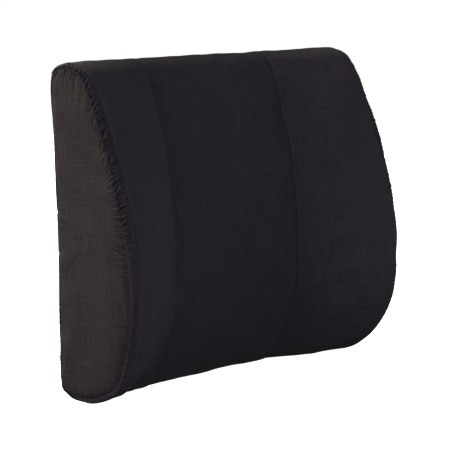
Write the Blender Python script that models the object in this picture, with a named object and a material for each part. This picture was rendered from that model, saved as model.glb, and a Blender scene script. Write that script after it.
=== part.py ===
"""A contoured lumbar support cushion, as separate pieces.

A moulded foam core with a stiffening board in its back sits in a sewn cover: a centre panel
and two wings over the top, front and bottom, a shaped panel on each side, and two flat back
panels that a zip joins. An elastic strap runs across the back, from side seam to side seam.

The front faces -Y and +Z is up. The origin is on the floor, under the middle of the box.
A depth is measured forwards from the back plane, so the depth d lies at y = BACK_Y - d, and
what stands out behind that plane has a negative depth.
"""

import math

import bmesh
import bpy
import numpy as np
from mathutils import Matrix, Vector
from mathutils.geometry import interpolate_bezier

# Overall size, in metres
WIDTH = 0.356
HEIGHT = 0.327
FRONT_SEAM_X = 0.082
BACK_CORNER = 0.009
SIDE_CROWN = 0.003

# The front outline from the top edge down to the flat bottom: height, centre depth, wing depth
FRONT_STATIONS = (
    (0.3275, 0.0145, 0.0300),
    (0.3180, 0.0265, 0.0535),
    (0.2840, 0.0415, 0.0765),
    (0.2400, 0.0550, 0.0950),
    (0.1900, 0.0635, 0.1120),
    (0.1250, 0.0670, 0.1230),
    (0.0850, 0.0630, 0.1205),
    (0.0480, 0.0500, 0.1055),
    (0.0190, 0.0330, 0.0770),
    (0.0000, 0.0140, 0.0410),
)
STATION_STEPS = 3
CORNER_STEPS = 3

# The roll where a front or back panel turns to meet the side panel at the seam. Its radius is
# largest at the front, and on the back it grows from the ends to the waist.
ROLL_FRONT, ROLL_TOP, ROLL_BOTTOM, ROLL_BACK = 0.012, 0.007, 0.006, 0.002
ROLL_BACK_WAIST = 0.009
ROLL_END = math.radians(62)
SIDE_PANEL_INSET = 0.00075
CREST_SOFTNESS = 0.15
WING_STEPS = (0.4, 0.75, 0.875, 1.0)
ROLL_STEPS = 3
SIDE_RINGS = (0.8, 0.45, 0.15)

# Fabric, foam and the gaps that keep touching pieces apart
FABRIC = 0.0008
GAP = 0.0006
SEAM_GAP = 0.0004

# Edges sharper than this are drawn sharp
SHARP_ANGLE = math.radians(35)
# How far a cutter runs past the surface that it opens, and how far joined blocks overlap
CUT_PAST = 0.002
OVERLAP = 0.0002
MERGE_DISTANCE = 1e-7

# Zip along the lower back
ZIP_Z = 0.042
ZIP_OPENING = 0.012
ZIP_HALF_RUN = 0.152
TAPE_HALF_LENGTH = 0.166
TAPE_INNER, TAPE_OUTER = 0.0008, 0.015
TAPE_DEPTHS = (0.0011, 0.0017)
COIL_HALF_LENGTH = 0.146
COIL_INNER, COIL_OUTER = 0.0006, 0.0031
COIL_DEPTHS = (-0.0005, 0.0008)
STOP_START, STOP_LENGTH, STOP_HALF_HEIGHT = 0.1475, 0.002, 0.0036
STOP_BEVEL = 0.0003
ZIP_GROOVE_HALF_HEIGHT, ZIP_GROOVE_DEPTH = 0.017, 0.0038

# Slider and pull tab, measured from the slider's middle
SLIDER_X = 0.140
SLIDER_LENGTH, SLIDER_HEIGHT = 0.010, 0.0088
SLIDER_CORNER = 0.0015
SLIDER_TOP_DEPTHS = (-0.0017, -0.00085)
SLIDER_BASE_DEPTHS = (0.0021, 0.0030)
SLIDER_LIP, SLIDER_LIP_INSET = 0.0009, 0.002
SLIDER_LIP_END = 0.0008
SLIDER_POST_HEIGHT, SLIDER_POST_LENGTH = 0.0006, 0.005
BAIL_HALF_LENGTH, BAIL_HEIGHT, BAIL_THICK = 0.0044, 0.0022, 0.0010
BAIL_TOP_DEPTH = -0.0046
PIVOT_DEPTH = -0.00265
TAB_THICK, TAB_LENGTH, TAB_HEIGHT = 0.0011, 0.026, 0.0070
TAB_CORNER = 0.0022
TAB_BAR_RADIUS = 0.0006
TAB_BAR_SIDES = 12
TAB_WINDOW_END, TAB_WINDOW_HEIGHT = 0.0058, 0.0034

# Elastic strap across the back, in a shallow channel that it presses into the cover
STRAP_Z = 0.165
STRAP_HEIGHT = 0.038
STRAP_DEPTHS = (-0.0009, 0.0003)
STRAP_CHANNEL_DEPTH = 0.0006
STRAP_MIDDLE_HALF = 0.150
STRAP_BEVEL = 0.0004

# Stiffening board in the back of the foam
BOARD_WIDTH, BOARD_HEIGHT, BOARD_THICK = 0.300, 0.250, 0.0032
BOARD_LOW_Z = 0.062
BOARD_DEPTH = 0.0020
BOARD_CORNER = 0.020
BOARD_CLEARANCE = 0.0005

# colour, roughness, metallic
FINISHES = {
    "cover_fabric": ((0.016, 0.016, 0.020), 0.85, 0.0),
    "side_fabric": ((0.024, 0.020, 0.018), 0.85, 0.0),
    "zip_tape": ((0.014, 0.014, 0.016), 0.85, 0.0),
    "zip_nylon": ((0.020, 0.020, 0.022), 0.45, 0.0),
    "zip_metal": ((0.030, 0.030, 0.032), 0.35, 0.9),
    "elastic": ((0.015, 0.015, 0.016), 0.80, 0.0),
    "foam": ((0.78, 0.74, 0.60), 0.90, 0.0),
    "hardboard": ((0.30, 0.17, 0.09), 0.70, 0.0),
}


def clear_scene():
    for obj in list(bpy.data.objects):
        bpy.data.objects.remove(obj, do_unlink=True)


def material(finish):
    """The named finish as a Principled material, made on first use."""
    found = bpy.data.materials.get(finish)
    if found:
        return found
    colour, roughness, metallic = FINISHES[finish]
    made = bpy.data.materials.new(finish)
    made.use_nodes = True
    shader = made.node_tree.nodes["Principled BSDF"]
    shader.inputs["Base Color"].default_value = (*colour, 1.0)
    shader.inputs["Roughness"].default_value = roughness
    shader.inputs["Metallic"].default_value = metallic
    made.diffuse_color = (*colour, 1.0)
    return made


def add_object(name, mesh, finish, location=(0, 0, 0)):
    mesh.materials.append(material(finish))
    obj = bpy.data.objects.new(name, mesh)
    obj.location = location
    bpy.context.scene.collection.objects.link(obj)
    return obj


def mesh_from(name, points, faces):
    """A smooth-shaded mesh whose faces all point out."""
    mesh = bpy.data.meshes.new(name)
    mesh.from_pydata([tuple(point) for point in points], [], faces)
    work = bmesh.new()
    work.from_mesh(mesh)
    bmesh.ops.recalc_face_normals(work, faces=work.faces)
    work.to_mesh(mesh)
    work.free()
    mesh.shade_smooth()
    mesh.set_sharp_from_angle(angle=SHARP_ANGLE)
    return mesh


# --- The cushion's skin ---------------------------------------------------------------------


def smooth_path(points, first, last, steps):
    """Points along a curve through points, which leaves along first and arrives along last."""
    knots = [Vector((*point, 0)) for point in points]
    directions = [Vector((*first, 0))]
    directions += [after - before for before, after in zip(knots, knots[2:])]
    directions += [Vector((*last, 0))]
    path = []
    for i in range(len(knots) - 1):
        third = (knots[i + 1] - knots[i]).length / 3
        leave = knots[i] + directions[i].normalized() * third
        arrive = knots[i + 1] - directions[i + 1].normalized() * third
        path += interpolate_bezier(knots[i], leave, arrive, knots[i + 1], steps + 1)[:-1]
    return [point.to_2d() for point in path] + [knots[-1].to_2d()]


def back_corner(centre_z, start):
    """The rounded corner between the back plane and the top or the bottom, clockwise."""
    turn = np.linspace(start, start - math.pi / 2, CORNER_STEPS + 1)
    outwards = [(math.cos(a), math.sin(a)) for a in turn]
    points = [(BACK_CORNER * (1 + x), centre_z + BACK_CORNER * z) for x, z in outwards]
    return points, [(z, -x) for x, z in outwards]


def back_heights():
    """Heights of the rows on the flat back, from the bottom up."""
    strap = STRAP_HEIGHT / 2
    return (
        BACK_CORNER + SEAM_GAP,
        ZIP_Z - ZIP_OPENING / 2,
        ZIP_Z + ZIP_OPENING / 2,
        STRAP_Z - strap - SEAM_GAP,
        STRAP_Z - strap,
        STRAP_Z + strap,
        STRAP_Z + strap + SEAM_GAP,
        HEIGHT - BACK_CORNER - SEAM_GAP,
    )


def unit(vectors):
    return vectors / np.linalg.norm(vectors, axis=-1, keepdims=True)


def outline(column):
    """A closed upright section: (depth, z) rows over the top, the front and the bottom and up
    the back, and the direction of travel at each row."""
    stations = [(station[column], station[0]) for station in FRONT_STATIONS]
    front = smooth_path([(BACK_CORNER, HEIGHT)] + stations, (1, 0), (-1, 0), STATION_STEPS)
    front = np.array([tuple(point) for point in front])
    front_travel = unit(np.gradient(front, axis=0))
    front_travel[0], front_travel[-1] = (1, 0), (-1, 0)
    top, top_travel = back_corner(HEIGHT - BACK_CORNER, math.pi)
    bottom, bottom_travel = back_corner(BACK_CORNER, -math.pi / 2)
    back = [(0.0, z) for z in back_heights()]
    rows = np.concatenate([top[:-1], front, bottom, back])
    back_travel = [(0.0, 1.0)] * len(back)
    travel = np.concatenate([top_travel[:-1], front_travel, bottom_travel, back_travel])
    return rows, travel


CENTRE, CENTRE_TRAVEL = outline(1)
WING, WING_TRAVEL = outline(2)
BACK_Y = (WING[:, 0].max() + BAIL_TOP_DEPTH) / 2
ROWS = len(WING)

# The last rows climb the flat back, as back_heights lists them: two on the lower panel, then six
# on the upper panel, of which the third and fourth lie under the strap's edges
BACK_START = ROWS - len(back_heights())
WRAP = slice(0, BACK_START)
LOWER_BACK = slice(BACK_START, BACK_START + 2)
UPPER_BACK = slice(BACK_START + 2, ROWS)
CHANNEL_ROWS = (BACK_START + 4, BACK_START + 5)
WING_NORMAL = np.stack([-WING_TRAVEL[:, 1], WING_TRAVEL[:, 0]], axis=1)


def back_roll(z):
    """The roll's radius on the back at a height."""
    return ROLL_BACK + ROLL_BACK_WAIST * np.sin(math.pi * z / HEIGHT)


def roll_radius():
    """The roll's radius at each row, blended by which way the row faces."""
    forward, up = np.clip(WING_NORMAL, 0, 1).T ** 2
    backward, down = np.clip(-WING_NORMAL, 0, 1).T ** 2
    around = forward * ROLL_FRONT + up * ROLL_TOP + down * ROLL_BOTTOM
    return around + backward * back_roll(WING[:, 1])


ROLL_RADIUS = roll_radius()
ROLL_START = WIDTH / 2 - ROLL_RADIUS * math.sin(ROLL_END)


def wing_rise(share):
    """How far the wing has risen from the centre's depth: straight, then levelling at the crest."""
    slope = 1 / (1 - CREST_SOFTNESS / 2)
    if share < 1 - CREST_SOFTNESS:
        return slope * share
    return 1 - slope * (1 - share) ** 2 / (2 * CREST_SOFTNESS)


def column(x, section, travel):
    """World points at x from (depth, z) rows, and the direction of travel at each."""
    x = np.broadcast_to(x, len(section))
    points = np.stack([x, BACK_Y - section[:, 0], section[:, 1]], axis=1)
    return points, np.stack([0 * x, -travel[:, 0], travel[:, 1]], axis=1)


def wing_column(share):
    """The column between the front seam, at share 0, and the start of the side roll, at 1."""
    rise = wing_rise(share)
    x = FRONT_SEAM_X + SEAM_GAP / 2 + share * (ROLL_START - FRONT_SEAM_X - SEAM_GAP / 2)
    travel = unit(CENTRE_TRAVEL * (1 - rise) + WING_TRAVEL * rise)
    return column(x, CENTRE * (1 - rise) + WING * rise, travel)


def roll_column(angle, extra_inset=0.0):
    """The column on the side roll, which turns from the wing at 0 to the side seam."""
    inset = ROLL_RADIUS * (1 - math.cos(angle)) + extra_inset
    x = ROLL_START + ROLL_RADIUS * math.sin(angle)
    return column(x, WING - WING_NORMAL * inset[:, None], WING_TRAVEL)


def skin():
    """The outer surface as rows by columns of points, from the left side seam to the right, and
    its outward normals."""
    half = [column(FRONT_SEAM_X - SEAM_GAP / 2, CENTRE, CENTRE_TRAVEL)]
    half += [wing_column(share) for share in (0.0, *WING_STEPS)]
    half += [roll_column(ROLL_END * (i + 1) / ROLL_STEPS) for i in range(ROLL_STEPS)]
    mirror = np.array([-1.0, 1.0, 1.0])
    points = [points * mirror for points, _ in reversed(half)] + [points for points, _ in half]
    travel = [travel for _, travel in reversed(half)] + [travel for _, travel in half]
    points, travel = np.stack(points, axis=1), np.stack(travel, axis=1)
    return points, unit(np.cross(travel, np.gradient(points, axis=1)))


SKIN, SKIN_NORMAL = skin()
COLUMNS = SKIN.shape[1]
HALF = COLUMNS // 2
CHANNEL = np.zeros((ROWS, 1, 1))
CHANNEL[list(CHANNEL_ROWS)] = STRAP_CHANNEL_DEPTH


def layer(depth):
    """The skin moved inwards by depth, with the strap's channel pressed in."""
    return SKIN - SKIN_NORMAL * (depth + CHANNEL)


# --- Closed solids from rows and columns ----------------------------------------------------


def grid_faces(grid, start=0, wrap=False):
    """Triangles over a grid of points numbered row by row from start; wrap joins its last row to
    its first. The cells left of the middle are split the other way, so that the halves mirror."""
    rows, columns = grid.shape[:2]
    faces = []
    for r in range(rows if wrap else rows - 1):
        for c in range(columns - 1):
            near, far = start + r * columns + c, start + (r + 1) % rows * columns + c
            if grid[r, c, 0] + grid[r, c + 1, 0] < 0:
                faces += [(near, near + 1, far), (near + 1, far + 1, far)]
            else:
                faces += [(near, near + 1, far + 1), (near, far + 1, far)]
    return faces


def patch_solid(name, outer, inner, finish):
    """A closed sheet between an outer and an inner grid of the same rows and columns."""
    rows, columns = outer.shape[:2]
    count = rows * columns
    faces = grid_faces(outer) + [face[::-1] for face in grid_faces(outer, count)]
    rim = [(0, c) for c in range(columns)]
    rim += [(r, columns - 1) for r in range(1, rows)]
    rim += [(rows - 1, c) for c in range(columns - 2, -1, -1)]
    rim += [(r, 0) for r in range(rows - 2, 0, -1)]
    edge = [r * columns + c for r, c in rim]
    for here, after in zip(edge, edge[1:] + edge[:1]):
        faces.append((after, here, here + count, after + count))
    points = np.concatenate([outer.reshape(-1, 3), inner.reshape(-1, 3)])
    return add_object(name, mesh_from(name, points, faces), finish)


def side_disc(rim):
    """Rings from a closed rim in to its middle, crowned along X, and the middle point."""
    middle = (rim.max(axis=0) + rim.min(axis=0)) / 2
    middle[0] = rim[:, 0].mean()
    out = np.array([math.copysign(SIDE_CROWN, middle[0]), 0, 0])
    rings = [rim] + [middle + (rim - middle) * s + out * (1 - s * s) for s in SIDE_RINGS]
    return np.concatenate([*rings, [middle + out]])


def disc_faces(start):
    """Faces of a side disc whose points begin at start."""
    rings = len(SIDE_RINGS) + 1
    faces = []
    for ring in range(rings - 1):
        base = start + ring * ROWS
        for r in range(ROWS):
            after = (r + 1) % ROWS
            faces.append((base + r, base + after, base + ROWS + after, base + ROWS + r))
    last, tip = start + (rings - 1) * ROWS, start + rings * ROWS
    return faces + [(last + r, last + (r + 1) % ROWS, tip) for r in range(ROWS)]


def side_panel(name, side):
    """A crowned sheet that closes one side of the cover."""
    sunk = roll_column(ROLL_END, SIDE_PANEL_INSET)[0] * np.array([side, 1.0, 1.0])
    sunk[list(CHANNEL_ROWS), 1] -= STRAP_CHANNEL_DEPTH
    outer = side_disc(sunk)
    inner = outer - np.array([side * FABRIC, 0, 0])
    count = len(outer)
    faces = disc_faces(0) + [face[::-1] for face in disc_faces(count)]
    for r in range(ROWS):
        after = (r + 1) % ROWS
        faces.append((r, after, after + count, r + count))
    points = np.concatenate([outer, inner])
    return add_object(name, mesh_from(name, points, faces), "side_fabric")


def box(name, low, high, finish, location=(0, 0, 0)):
    """A block given by its lowest and highest corners about its own origin."""
    size = Vector(high) - Vector(low)
    work = bmesh.new()
    bmesh.ops.create_cube(work, size=1)
    bmesh.ops.scale(work, vec=size, verts=work.verts)
    bmesh.ops.translate(work, vec=(Vector(high) + Vector(low)) / 2, verts=work.verts)
    mesh = bpy.data.meshes.new(name)
    work.to_mesh(mesh)
    work.free()
    return add_object(name, mesh, finish, location)


def round_edges(obj, width, axis=None, segments=3):
    """Bevel the edges, or only those along one axis."""
    work = bmesh.new()
    work.from_mesh(obj.data)
    edges = list(work.edges)
    if axis is not None:
        other_axes = [a for a in range(3) if a != axis]
        steps = [edge.verts[1].co - edge.verts[0].co for edge in edges]
        straight = [max(abs(step[a]) for a in other_axes) < MERGE_DISTANCE for step in steps]
        edges = [edge for edge, kept in zip(edges, straight) if kept]
    bmesh.ops.bevel(work, geom=edges, offset=width, segments=segments, affect="EDGES", profile=0.5)
    work.to_mesh(obj.data)
    work.free()
    obj.data.shade_smooth()
    obj.data.set_sharp_from_angle(angle=SHARP_ANGLE)


def combine(target, tool, operation):
    """Apply a Boolean with tool to target, and remove tool."""
    change = target.modifiers.new(operation.title(), "BOOLEAN")
    change.operation = operation
    change.object = tool
    change.solver = "EXACT"
    graph = bpy.context.evaluated_depsgraph_get()
    result = bpy.data.meshes.new_from_object(target.evaluated_get(graph))
    target.modifiers.remove(change)
    old = target.data
    target.data = result
    result.name = target.name
    bpy.data.meshes.remove(old)
    bpy.data.objects.remove(tool, do_unlink=True)


# --- Cover, foam and board ------------------------------------------------------------------


def make_cover():
    outer, inner = layer(0.0), layer(FABRIC)
    panels = {
        "left_wing_panel": (WRAP, slice(0, HALF - 1)),
        "front_center_panel": (WRAP, slice(HALF - 1, HALF + 1)),
        "right_wing_panel": (WRAP, slice(HALF + 1, COLUMNS)),
        "back_lower_panel": (LOWER_BACK, slice(0, COLUMNS)),
        "back_upper_panel": (UPPER_BACK, slice(0, COLUMNS)),
    }
    for name, (rows, columns) in panels.items():
        patch_solid(name, outer[rows, columns], inner[rows, columns], "cover_fabric")
    side_panel("left_side_panel", -1)
    side_panel("right_side_panel", 1)


def make_foam():
    grid = layer(FABRIC + GAP)
    points = [grid.reshape(-1, 3)]
    faces = grid_faces(grid, wrap=True)
    for column in (0, COLUMNS - 1):
        disc = side_disc(grid[:, column])
        faces += disc_faces(sum(len(part) for part in points))
        points.append(disc)
    mesh = mesh_from("foam_core", np.concatenate(points), faces)
    work = bmesh.new()
    work.from_mesh(mesh)
    bmesh.ops.remove_doubles(work, verts=work.verts, dist=MERGE_DISTANCE)
    bmesh.ops.recalc_face_normals(work, faces=work.faces)
    work.to_mesh(mesh)
    work.free()
    foam = add_object("foam_core", mesh, "foam")
    recess = board_solid("board_recess", BOARD_CLEARANCE, BOARD_DEPTH + CUT_PAST)
    combine(foam, recess, "DIFFERENCE")
    half_length = TAPE_HALF_LENGTH + CUT_PAST
    low = (-half_length, BACK_Y - ZIP_GROOVE_DEPTH, ZIP_Z - ZIP_GROOVE_HALF_HEIGHT)
    high = (half_length, BACK_Y + CUT_PAST, ZIP_Z + ZIP_GROOVE_HALF_HEIGHT)
    combine(foam, box("zip_groove", low, high, "foam"), "DIFFERENCE")


def board_solid(name, clearance, behind):
    """The board's block, grown by clearance all round and by behind towards the back."""
    front_y = BACK_Y - BOARD_DEPTH - BOARD_THICK - clearance
    low = (-BOARD_WIDTH / 2 - clearance, front_y, BOARD_LOW_Z - clearance)
    high = (
        BOARD_WIDTH / 2 + clearance,
        BACK_Y - BOARD_DEPTH + behind,
        BOARD_LOW_Z + BOARD_HEIGHT + clearance,
    )
    board = box(name, low, high, "hardboard")
    round_edges(board, BOARD_CORNER + clearance, axis=1, segments=4)
    return board


# --- Zip ------------------------------------------------------------------------------------


def make_zip_rows():
    """The tapes and coils above and below the zip's line, and the stops at its ends."""
    for name, sign in (("upper", 1), ("lower", -1)):
        for kind, half, inner, outer, depths, finish in (
            ("tape", TAPE_HALF_LENGTH, TAPE_INNER, TAPE_OUTER, TAPE_DEPTHS, "zip_tape"),
            ("coil", COIL_HALF_LENGTH, COIL_INNER, COIL_OUTER, COIL_DEPTHS, "zip_nylon"),
        ):
            low_z, high_z = sorted((ZIP_Z + sign * inner, ZIP_Z + sign * outer))
            low = (-half, BACK_Y - depths[1], low_z)
            high = (half, BACK_Y - depths[0], high_z)
            box(f"zipper_{name}_{kind}", low, high, finish)
    for name, sign in (("top", 1), ("bottom", -1)):
        near, far = sorted((sign * STOP_START, sign * (STOP_START + STOP_LENGTH)))
        low = (near, BACK_Y - COIL_DEPTHS[1], ZIP_Z - STOP_HALF_HEIGHT)
        high = (far, BACK_Y - COIL_DEPTHS[0], ZIP_Z + STOP_HALF_HEIGHT)
        stop = box(f"zipper_{name}_stop", low, high, "zip_metal")
        round_edges(stop, STOP_BEVEL, segments=1)


def back_strip(name, start_x, half_height, middle_z, depths, side, finish):
    """A strip on the flat back, from start_x round the side roll to the side seam."""
    angles = [ROLL_END * (i / ROLL_STEPS) for i in range(ROLL_STEPS + 1)]
    radius = back_roll(middle_z)
    section = [(start_x, 0.0, 0.0)]
    for angle in angles:
        x = WIDTH / 2 - radius * (math.sin(ROLL_END) - math.sin(angle))
        section.append((x, radius * (1 - math.cos(angle)), angle))

    def grid(depth):
        points = np.empty((2, len(section), 3))
        for column, (x, inset, angle) in enumerate(section):
            out_x = side * (x - depth * math.sin(angle))
            out_y = BACK_Y - inset - depth * math.cos(angle)
            for row, z in enumerate((middle_z - half_height, middle_z + half_height)):
                points[row, column] = (out_x, out_y, z)
        return points

    return patch_solid(name, grid(depths[0]), grid(depths[1]), finish)


def make_zip_ends():
    """The bits of cover that close the opening beyond each end of the zip."""
    half_height = ZIP_OPENING / 2 - SEAM_GAP
    for name, side in (("left", -1), ("right", 1)):
        name = f"zipper_{name}_end_tab"
        back_strip(name, ZIP_HALF_RUN, half_height, ZIP_Z, (0.0, FABRIC), side, "cover_fabric")


def slider_block(name, x_half, z_low, z_high, depths):
    low = (-x_half, -depths[1], z_low)
    high = (x_half, -depths[0], z_high)
    return box(name, low, high, "zip_metal")


def make_slider():
    """Two plates joined by a post between the coils, with lips and a bail for the pull tab."""
    half = SLIDER_HEIGHT / 2
    slider = slider_block("zipper_slider", SLIDER_LENGTH / 2, -half, half, SLIDER_TOP_DEPTHS)
    base = slider_block("base", SLIDER_LENGTH / 2, -half, half, SLIDER_BASE_DEPTHS)
    for plate in (slider, base):
        round_edges(plate, SLIDER_CORNER, axis=1)
    post_half = SLIDER_POST_HEIGHT / 2
    post_depths = (SLIDER_TOP_DEPTHS[1] - OVERLAP, SLIDER_BASE_DEPTHS[0] + OVERLAP)
    post = slider_block("post", SLIDER_POST_LENGTH / 2, -post_half, post_half, post_depths)
    lip_half = SLIDER_LENGTH / 2 - SLIDER_LIP_INSET
    lip_depths = (SLIDER_TOP_DEPTHS[1] - OVERLAP, SLIDER_LIP_END)
    upper_lip = slider_block("upper_lip", lip_half, half - SLIDER_LIP, half, lip_depths)
    lower_lip = slider_block("lower_lip", lip_half, -half, SLIDER_LIP - half, lip_depths)
    bail_half = BAIL_HEIGHT / 2
    bail_depths = (BAIL_TOP_DEPTH, SLIDER_TOP_DEPTHS[0] + OVERLAP)
    bail = slider_block("bail", BAIL_HALF_LENGTH, -bail_half, bail_half, bail_depths)
    inside = BAIL_HALF_LENGTH - BAIL_THICK
    window_depths = (BAIL_TOP_DEPTH + BAIL_THICK, SLIDER_TOP_DEPTHS[0])
    window = slider_block("window", inside, -BAIL_HEIGHT, BAIL_HEIGHT, window_depths)
    combine(bail, window, "DIFFERENCE")
    parts = [base, post, upper_lip, lower_lip, bail]
    for part in parts:
        combine(slider, part, "UNION")
    slider.location = (SLIDER_X, BACK_Y, ZIP_Z)
    slider.data.set_sharp_from_angle(angle=SHARP_ANGLE)


def make_pull_tab():
    """A flat tab with a window that the bail passes through; it turns about the window's bar."""
    half = TAB_THICK / 2
    low = (-TAB_LENGTH, -half, -TAB_HEIGHT / 2)
    high = (0.0, half, TAB_HEIGHT / 2)
    tab = box("zipper_pull_tab", low, high, "zip_metal")
    round_edges(tab, TAB_CORNER, axis=1, segments=4)
    low = (-TAB_WINDOW_END, -TAB_THICK, -TAB_WINDOW_HEIGHT / 2)
    high = (-TAB_BAR_RADIUS, TAB_THICK, TAB_WINDOW_HEIGHT / 2)
    window = box("window", low, high, "zip_metal")
    combine(tab, window, "DIFFERENCE")
    work = bmesh.new()
    bmesh.ops.create_cone(
        work,
        cap_ends=True,
        segments=TAB_BAR_SIDES,
        radius1=TAB_BAR_RADIUS,
        radius2=TAB_BAR_RADIUS,
        depth=TAB_HEIGHT - 2 * TAB_CORNER,
    )
    mesh = bpy.data.meshes.new("bar")
    work.to_mesh(mesh)
    work.free()
    combine(tab, add_object("bar", mesh, "zip_metal"), "UNION")
    tab.location = (SLIDER_X, BACK_Y - PIVOT_DEPTH, ZIP_Z)
    tab.data.set_sharp_from_angle(angle=SHARP_ANGLE)


# --- Strap ----------------------------------------------------------------------------------


def make_strap():
    """The elastic strap: its middle, which pulls away from the back, and its two sewn ends."""
    half_height = STRAP_HEIGHT / 2 - GAP
    low = (-STRAP_MIDDLE_HALF, -STRAP_DEPTHS[1], -half_height)
    high = (STRAP_MIDDLE_HALF, -STRAP_DEPTHS[0], half_height)
    middle = box("strap_middle", low, high, "elastic", (0, BACK_Y, STRAP_Z))
    round_edges(middle, STRAP_BEVEL, axis=0, segments=2)
    for name, side in (("left", -1), ("right", 1)):
        start = STRAP_MIDDLE_HALF + GAP
        back_strip(f"strap_{name}_end", start, half_height, STRAP_Z, STRAP_DEPTHS, side, "elastic")


def main():
    clear_scene()
    make_cover()
    make_foam()
    board_solid("stiffener_board", 0.0, 0.0)
    make_zip_rows()
    make_zip_ends()
    make_slider()
    make_pull_tab()
    make_strap()


main()
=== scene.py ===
"""The looks of a contoured lumbar support cushion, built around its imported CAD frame.

The cover is made panel by panel on one smooth skin, which follows the same outline as the CAD
panels. Each panel is a closed sheet of cloth whose edges turn in at the seams.
"""

import math

import bpy
import numpy as np
from mathutils import Matrix, Vector
from mathutils.geometry import interpolate_bezier


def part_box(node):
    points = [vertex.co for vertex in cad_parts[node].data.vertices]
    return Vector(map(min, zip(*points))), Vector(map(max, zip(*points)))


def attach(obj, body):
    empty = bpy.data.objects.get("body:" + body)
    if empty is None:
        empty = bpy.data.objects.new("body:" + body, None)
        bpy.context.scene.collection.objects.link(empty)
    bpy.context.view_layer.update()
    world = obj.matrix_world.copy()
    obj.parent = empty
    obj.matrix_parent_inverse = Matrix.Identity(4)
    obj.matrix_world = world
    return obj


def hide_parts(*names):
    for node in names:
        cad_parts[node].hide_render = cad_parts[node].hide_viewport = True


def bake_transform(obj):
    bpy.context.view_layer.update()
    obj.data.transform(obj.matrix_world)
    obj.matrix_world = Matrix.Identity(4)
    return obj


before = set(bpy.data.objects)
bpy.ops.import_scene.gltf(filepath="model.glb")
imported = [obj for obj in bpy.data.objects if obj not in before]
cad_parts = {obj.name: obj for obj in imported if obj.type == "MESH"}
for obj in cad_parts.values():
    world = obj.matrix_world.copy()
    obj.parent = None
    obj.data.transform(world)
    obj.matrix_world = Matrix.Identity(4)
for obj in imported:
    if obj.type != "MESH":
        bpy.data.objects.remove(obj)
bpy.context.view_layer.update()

MM = 0.001

# --- Sizes from the frame ---

BACK_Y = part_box("back_upper_panel")[1].y
FRONT_SEAM_X = (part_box("front_center_panel")[1].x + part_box("right_wing_panel")[0].x) / 2
HALF_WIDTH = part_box("right_wing_panel")[1].x
SIDE_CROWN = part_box("right_side_panel")[1].x - HALF_WIDTH
STRAP_LOW, STRAP_HIGH = (corner.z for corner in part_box("strap_middle"))
STRAP_Z = (STRAP_LOW + STRAP_HIGH) / 2
ZIP_LOW, ZIP_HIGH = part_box("back_lower_panel")[1].z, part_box("zipper_left_end_tab")[1].z
ZIP_Z = (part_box("zipper_lower_coil")[1].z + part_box("zipper_upper_coil")[0].z) / 2
ZIP_HALF_RUN = -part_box("zipper_left_end_tab")[1].x

# The outline that part.py cuts the panels to: height, centre depth and wing depth
HEIGHT = 0.327
BACK_CORNER = 0.009
FRONT_STATIONS = (
    (0.3275, 0.0145, 0.0300),
    (0.3180, 0.0265, 0.0535),
    (0.2840, 0.0415, 0.0765),
    (0.2400, 0.0550, 0.0950),
    (0.1900, 0.0635, 0.1120),
    (0.1250, 0.0670, 0.1230),
    (0.0850, 0.0630, 0.1205),
    (0.0480, 0.0500, 0.1055),
    (0.0190, 0.0330, 0.0770),
    (0.0000, 0.0140, 0.0410),
)
ROLL_FRONT, ROLL_TOP, ROLL_BOTTOM, ROLL_BACK = 0.012, 0.007, 0.006, 0.002
ROLL_BACK_WAIST = 0.009
ROLL_END = math.radians(62)
CREST_SOFTNESS = 0.15
# Over the cloth: a wing from its front seam to its roll, and the middle to the side seam
WING_SPAN = 0.104
HALF_SPAN = FRONT_SEAM_X + WING_SPAN + ROLL_FRONT * ROLL_END

# --- Camera, lights and floor ---

VIEW_AZIMUTH, VIEW_ELEVATION, VIEW_ROLL = 41.408, 8.442, -1.084
VIEW_DISTANCE, VIEW_LENS, SENSOR = 1.6579, 132.1, 36.0
VIEW_TARGET = Vector((0, BACK_Y - 0.06, 0.165))
VIEW_SHIFT_RIGHT, VIEW_SHIFT_UP = -0.00917, -0.00674
# Each lamp's place, width, power and colour
LAMPS = {
    "left": ((-2.35, -0.27, 0.55), 0.9, 49, (0.83, 0.79, 1.0)),
    "left_back_high": ((-1.3, 1.3, 1.9), 0.6, 82, (1.0, 0.90, 0.66)),
    "top": ((-0.6, 0.7, 2.5), 0.9, 30, (0.94, 0.90, 1.0)),
    "left_front": ((-1.9, -1.6, 0.5), 0.9, 14, (0.76, 1.0, 0.92)),
    "right": ((2.3, -0.6, 0.5), 0.9, 20, (0.85, 0.86, 1.0)),
    "front_near": ((0.0, -0.80, 0.12), 0.35, 5.7, (1.0, 0.97, 0.97)),
    "back_soft": ((0.3, 2.5, 1.2), 1.4, 50, (1.0, 0.93, 0.90)),
}
SKY_GLOW, BACKDROP_GLOW = 0.02, 1.0
FLOOR_SIZE = 80


def make_camera():
    a, e, roll = (math.radians(v) for v in (VIEW_AZIMUTH, VIEW_ELEVATION, VIEW_ROLL))
    ahead = Vector((math.sin(a) * math.cos(e), math.cos(a) * math.cos(e), -math.sin(e)))
    right = Vector((math.cos(a), -math.sin(a), 0))
    up = right.cross(ahead)
    target = VIEW_TARGET + right * VIEW_SHIFT_RIGHT + up * VIEW_SHIFT_UP
    across = right * math.cos(roll) + up * math.sin(roll)
    upward = up * math.cos(roll) - right * math.sin(roll)
    data = bpy.data.cameras.new("camera")
    data.lens, data.sensor_width = VIEW_LENS, SENSOR
    camera = bpy.data.objects.new("camera", data)
    turn = Matrix((across, upward, -ahead)).transposed()
    camera.matrix_world = Matrix.Translation(target - ahead * VIEW_DISTANCE) @ turn.to_4x4()
    bpy.context.scene.collection.objects.link(camera)
    bpy.context.scene.camera = camera


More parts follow.
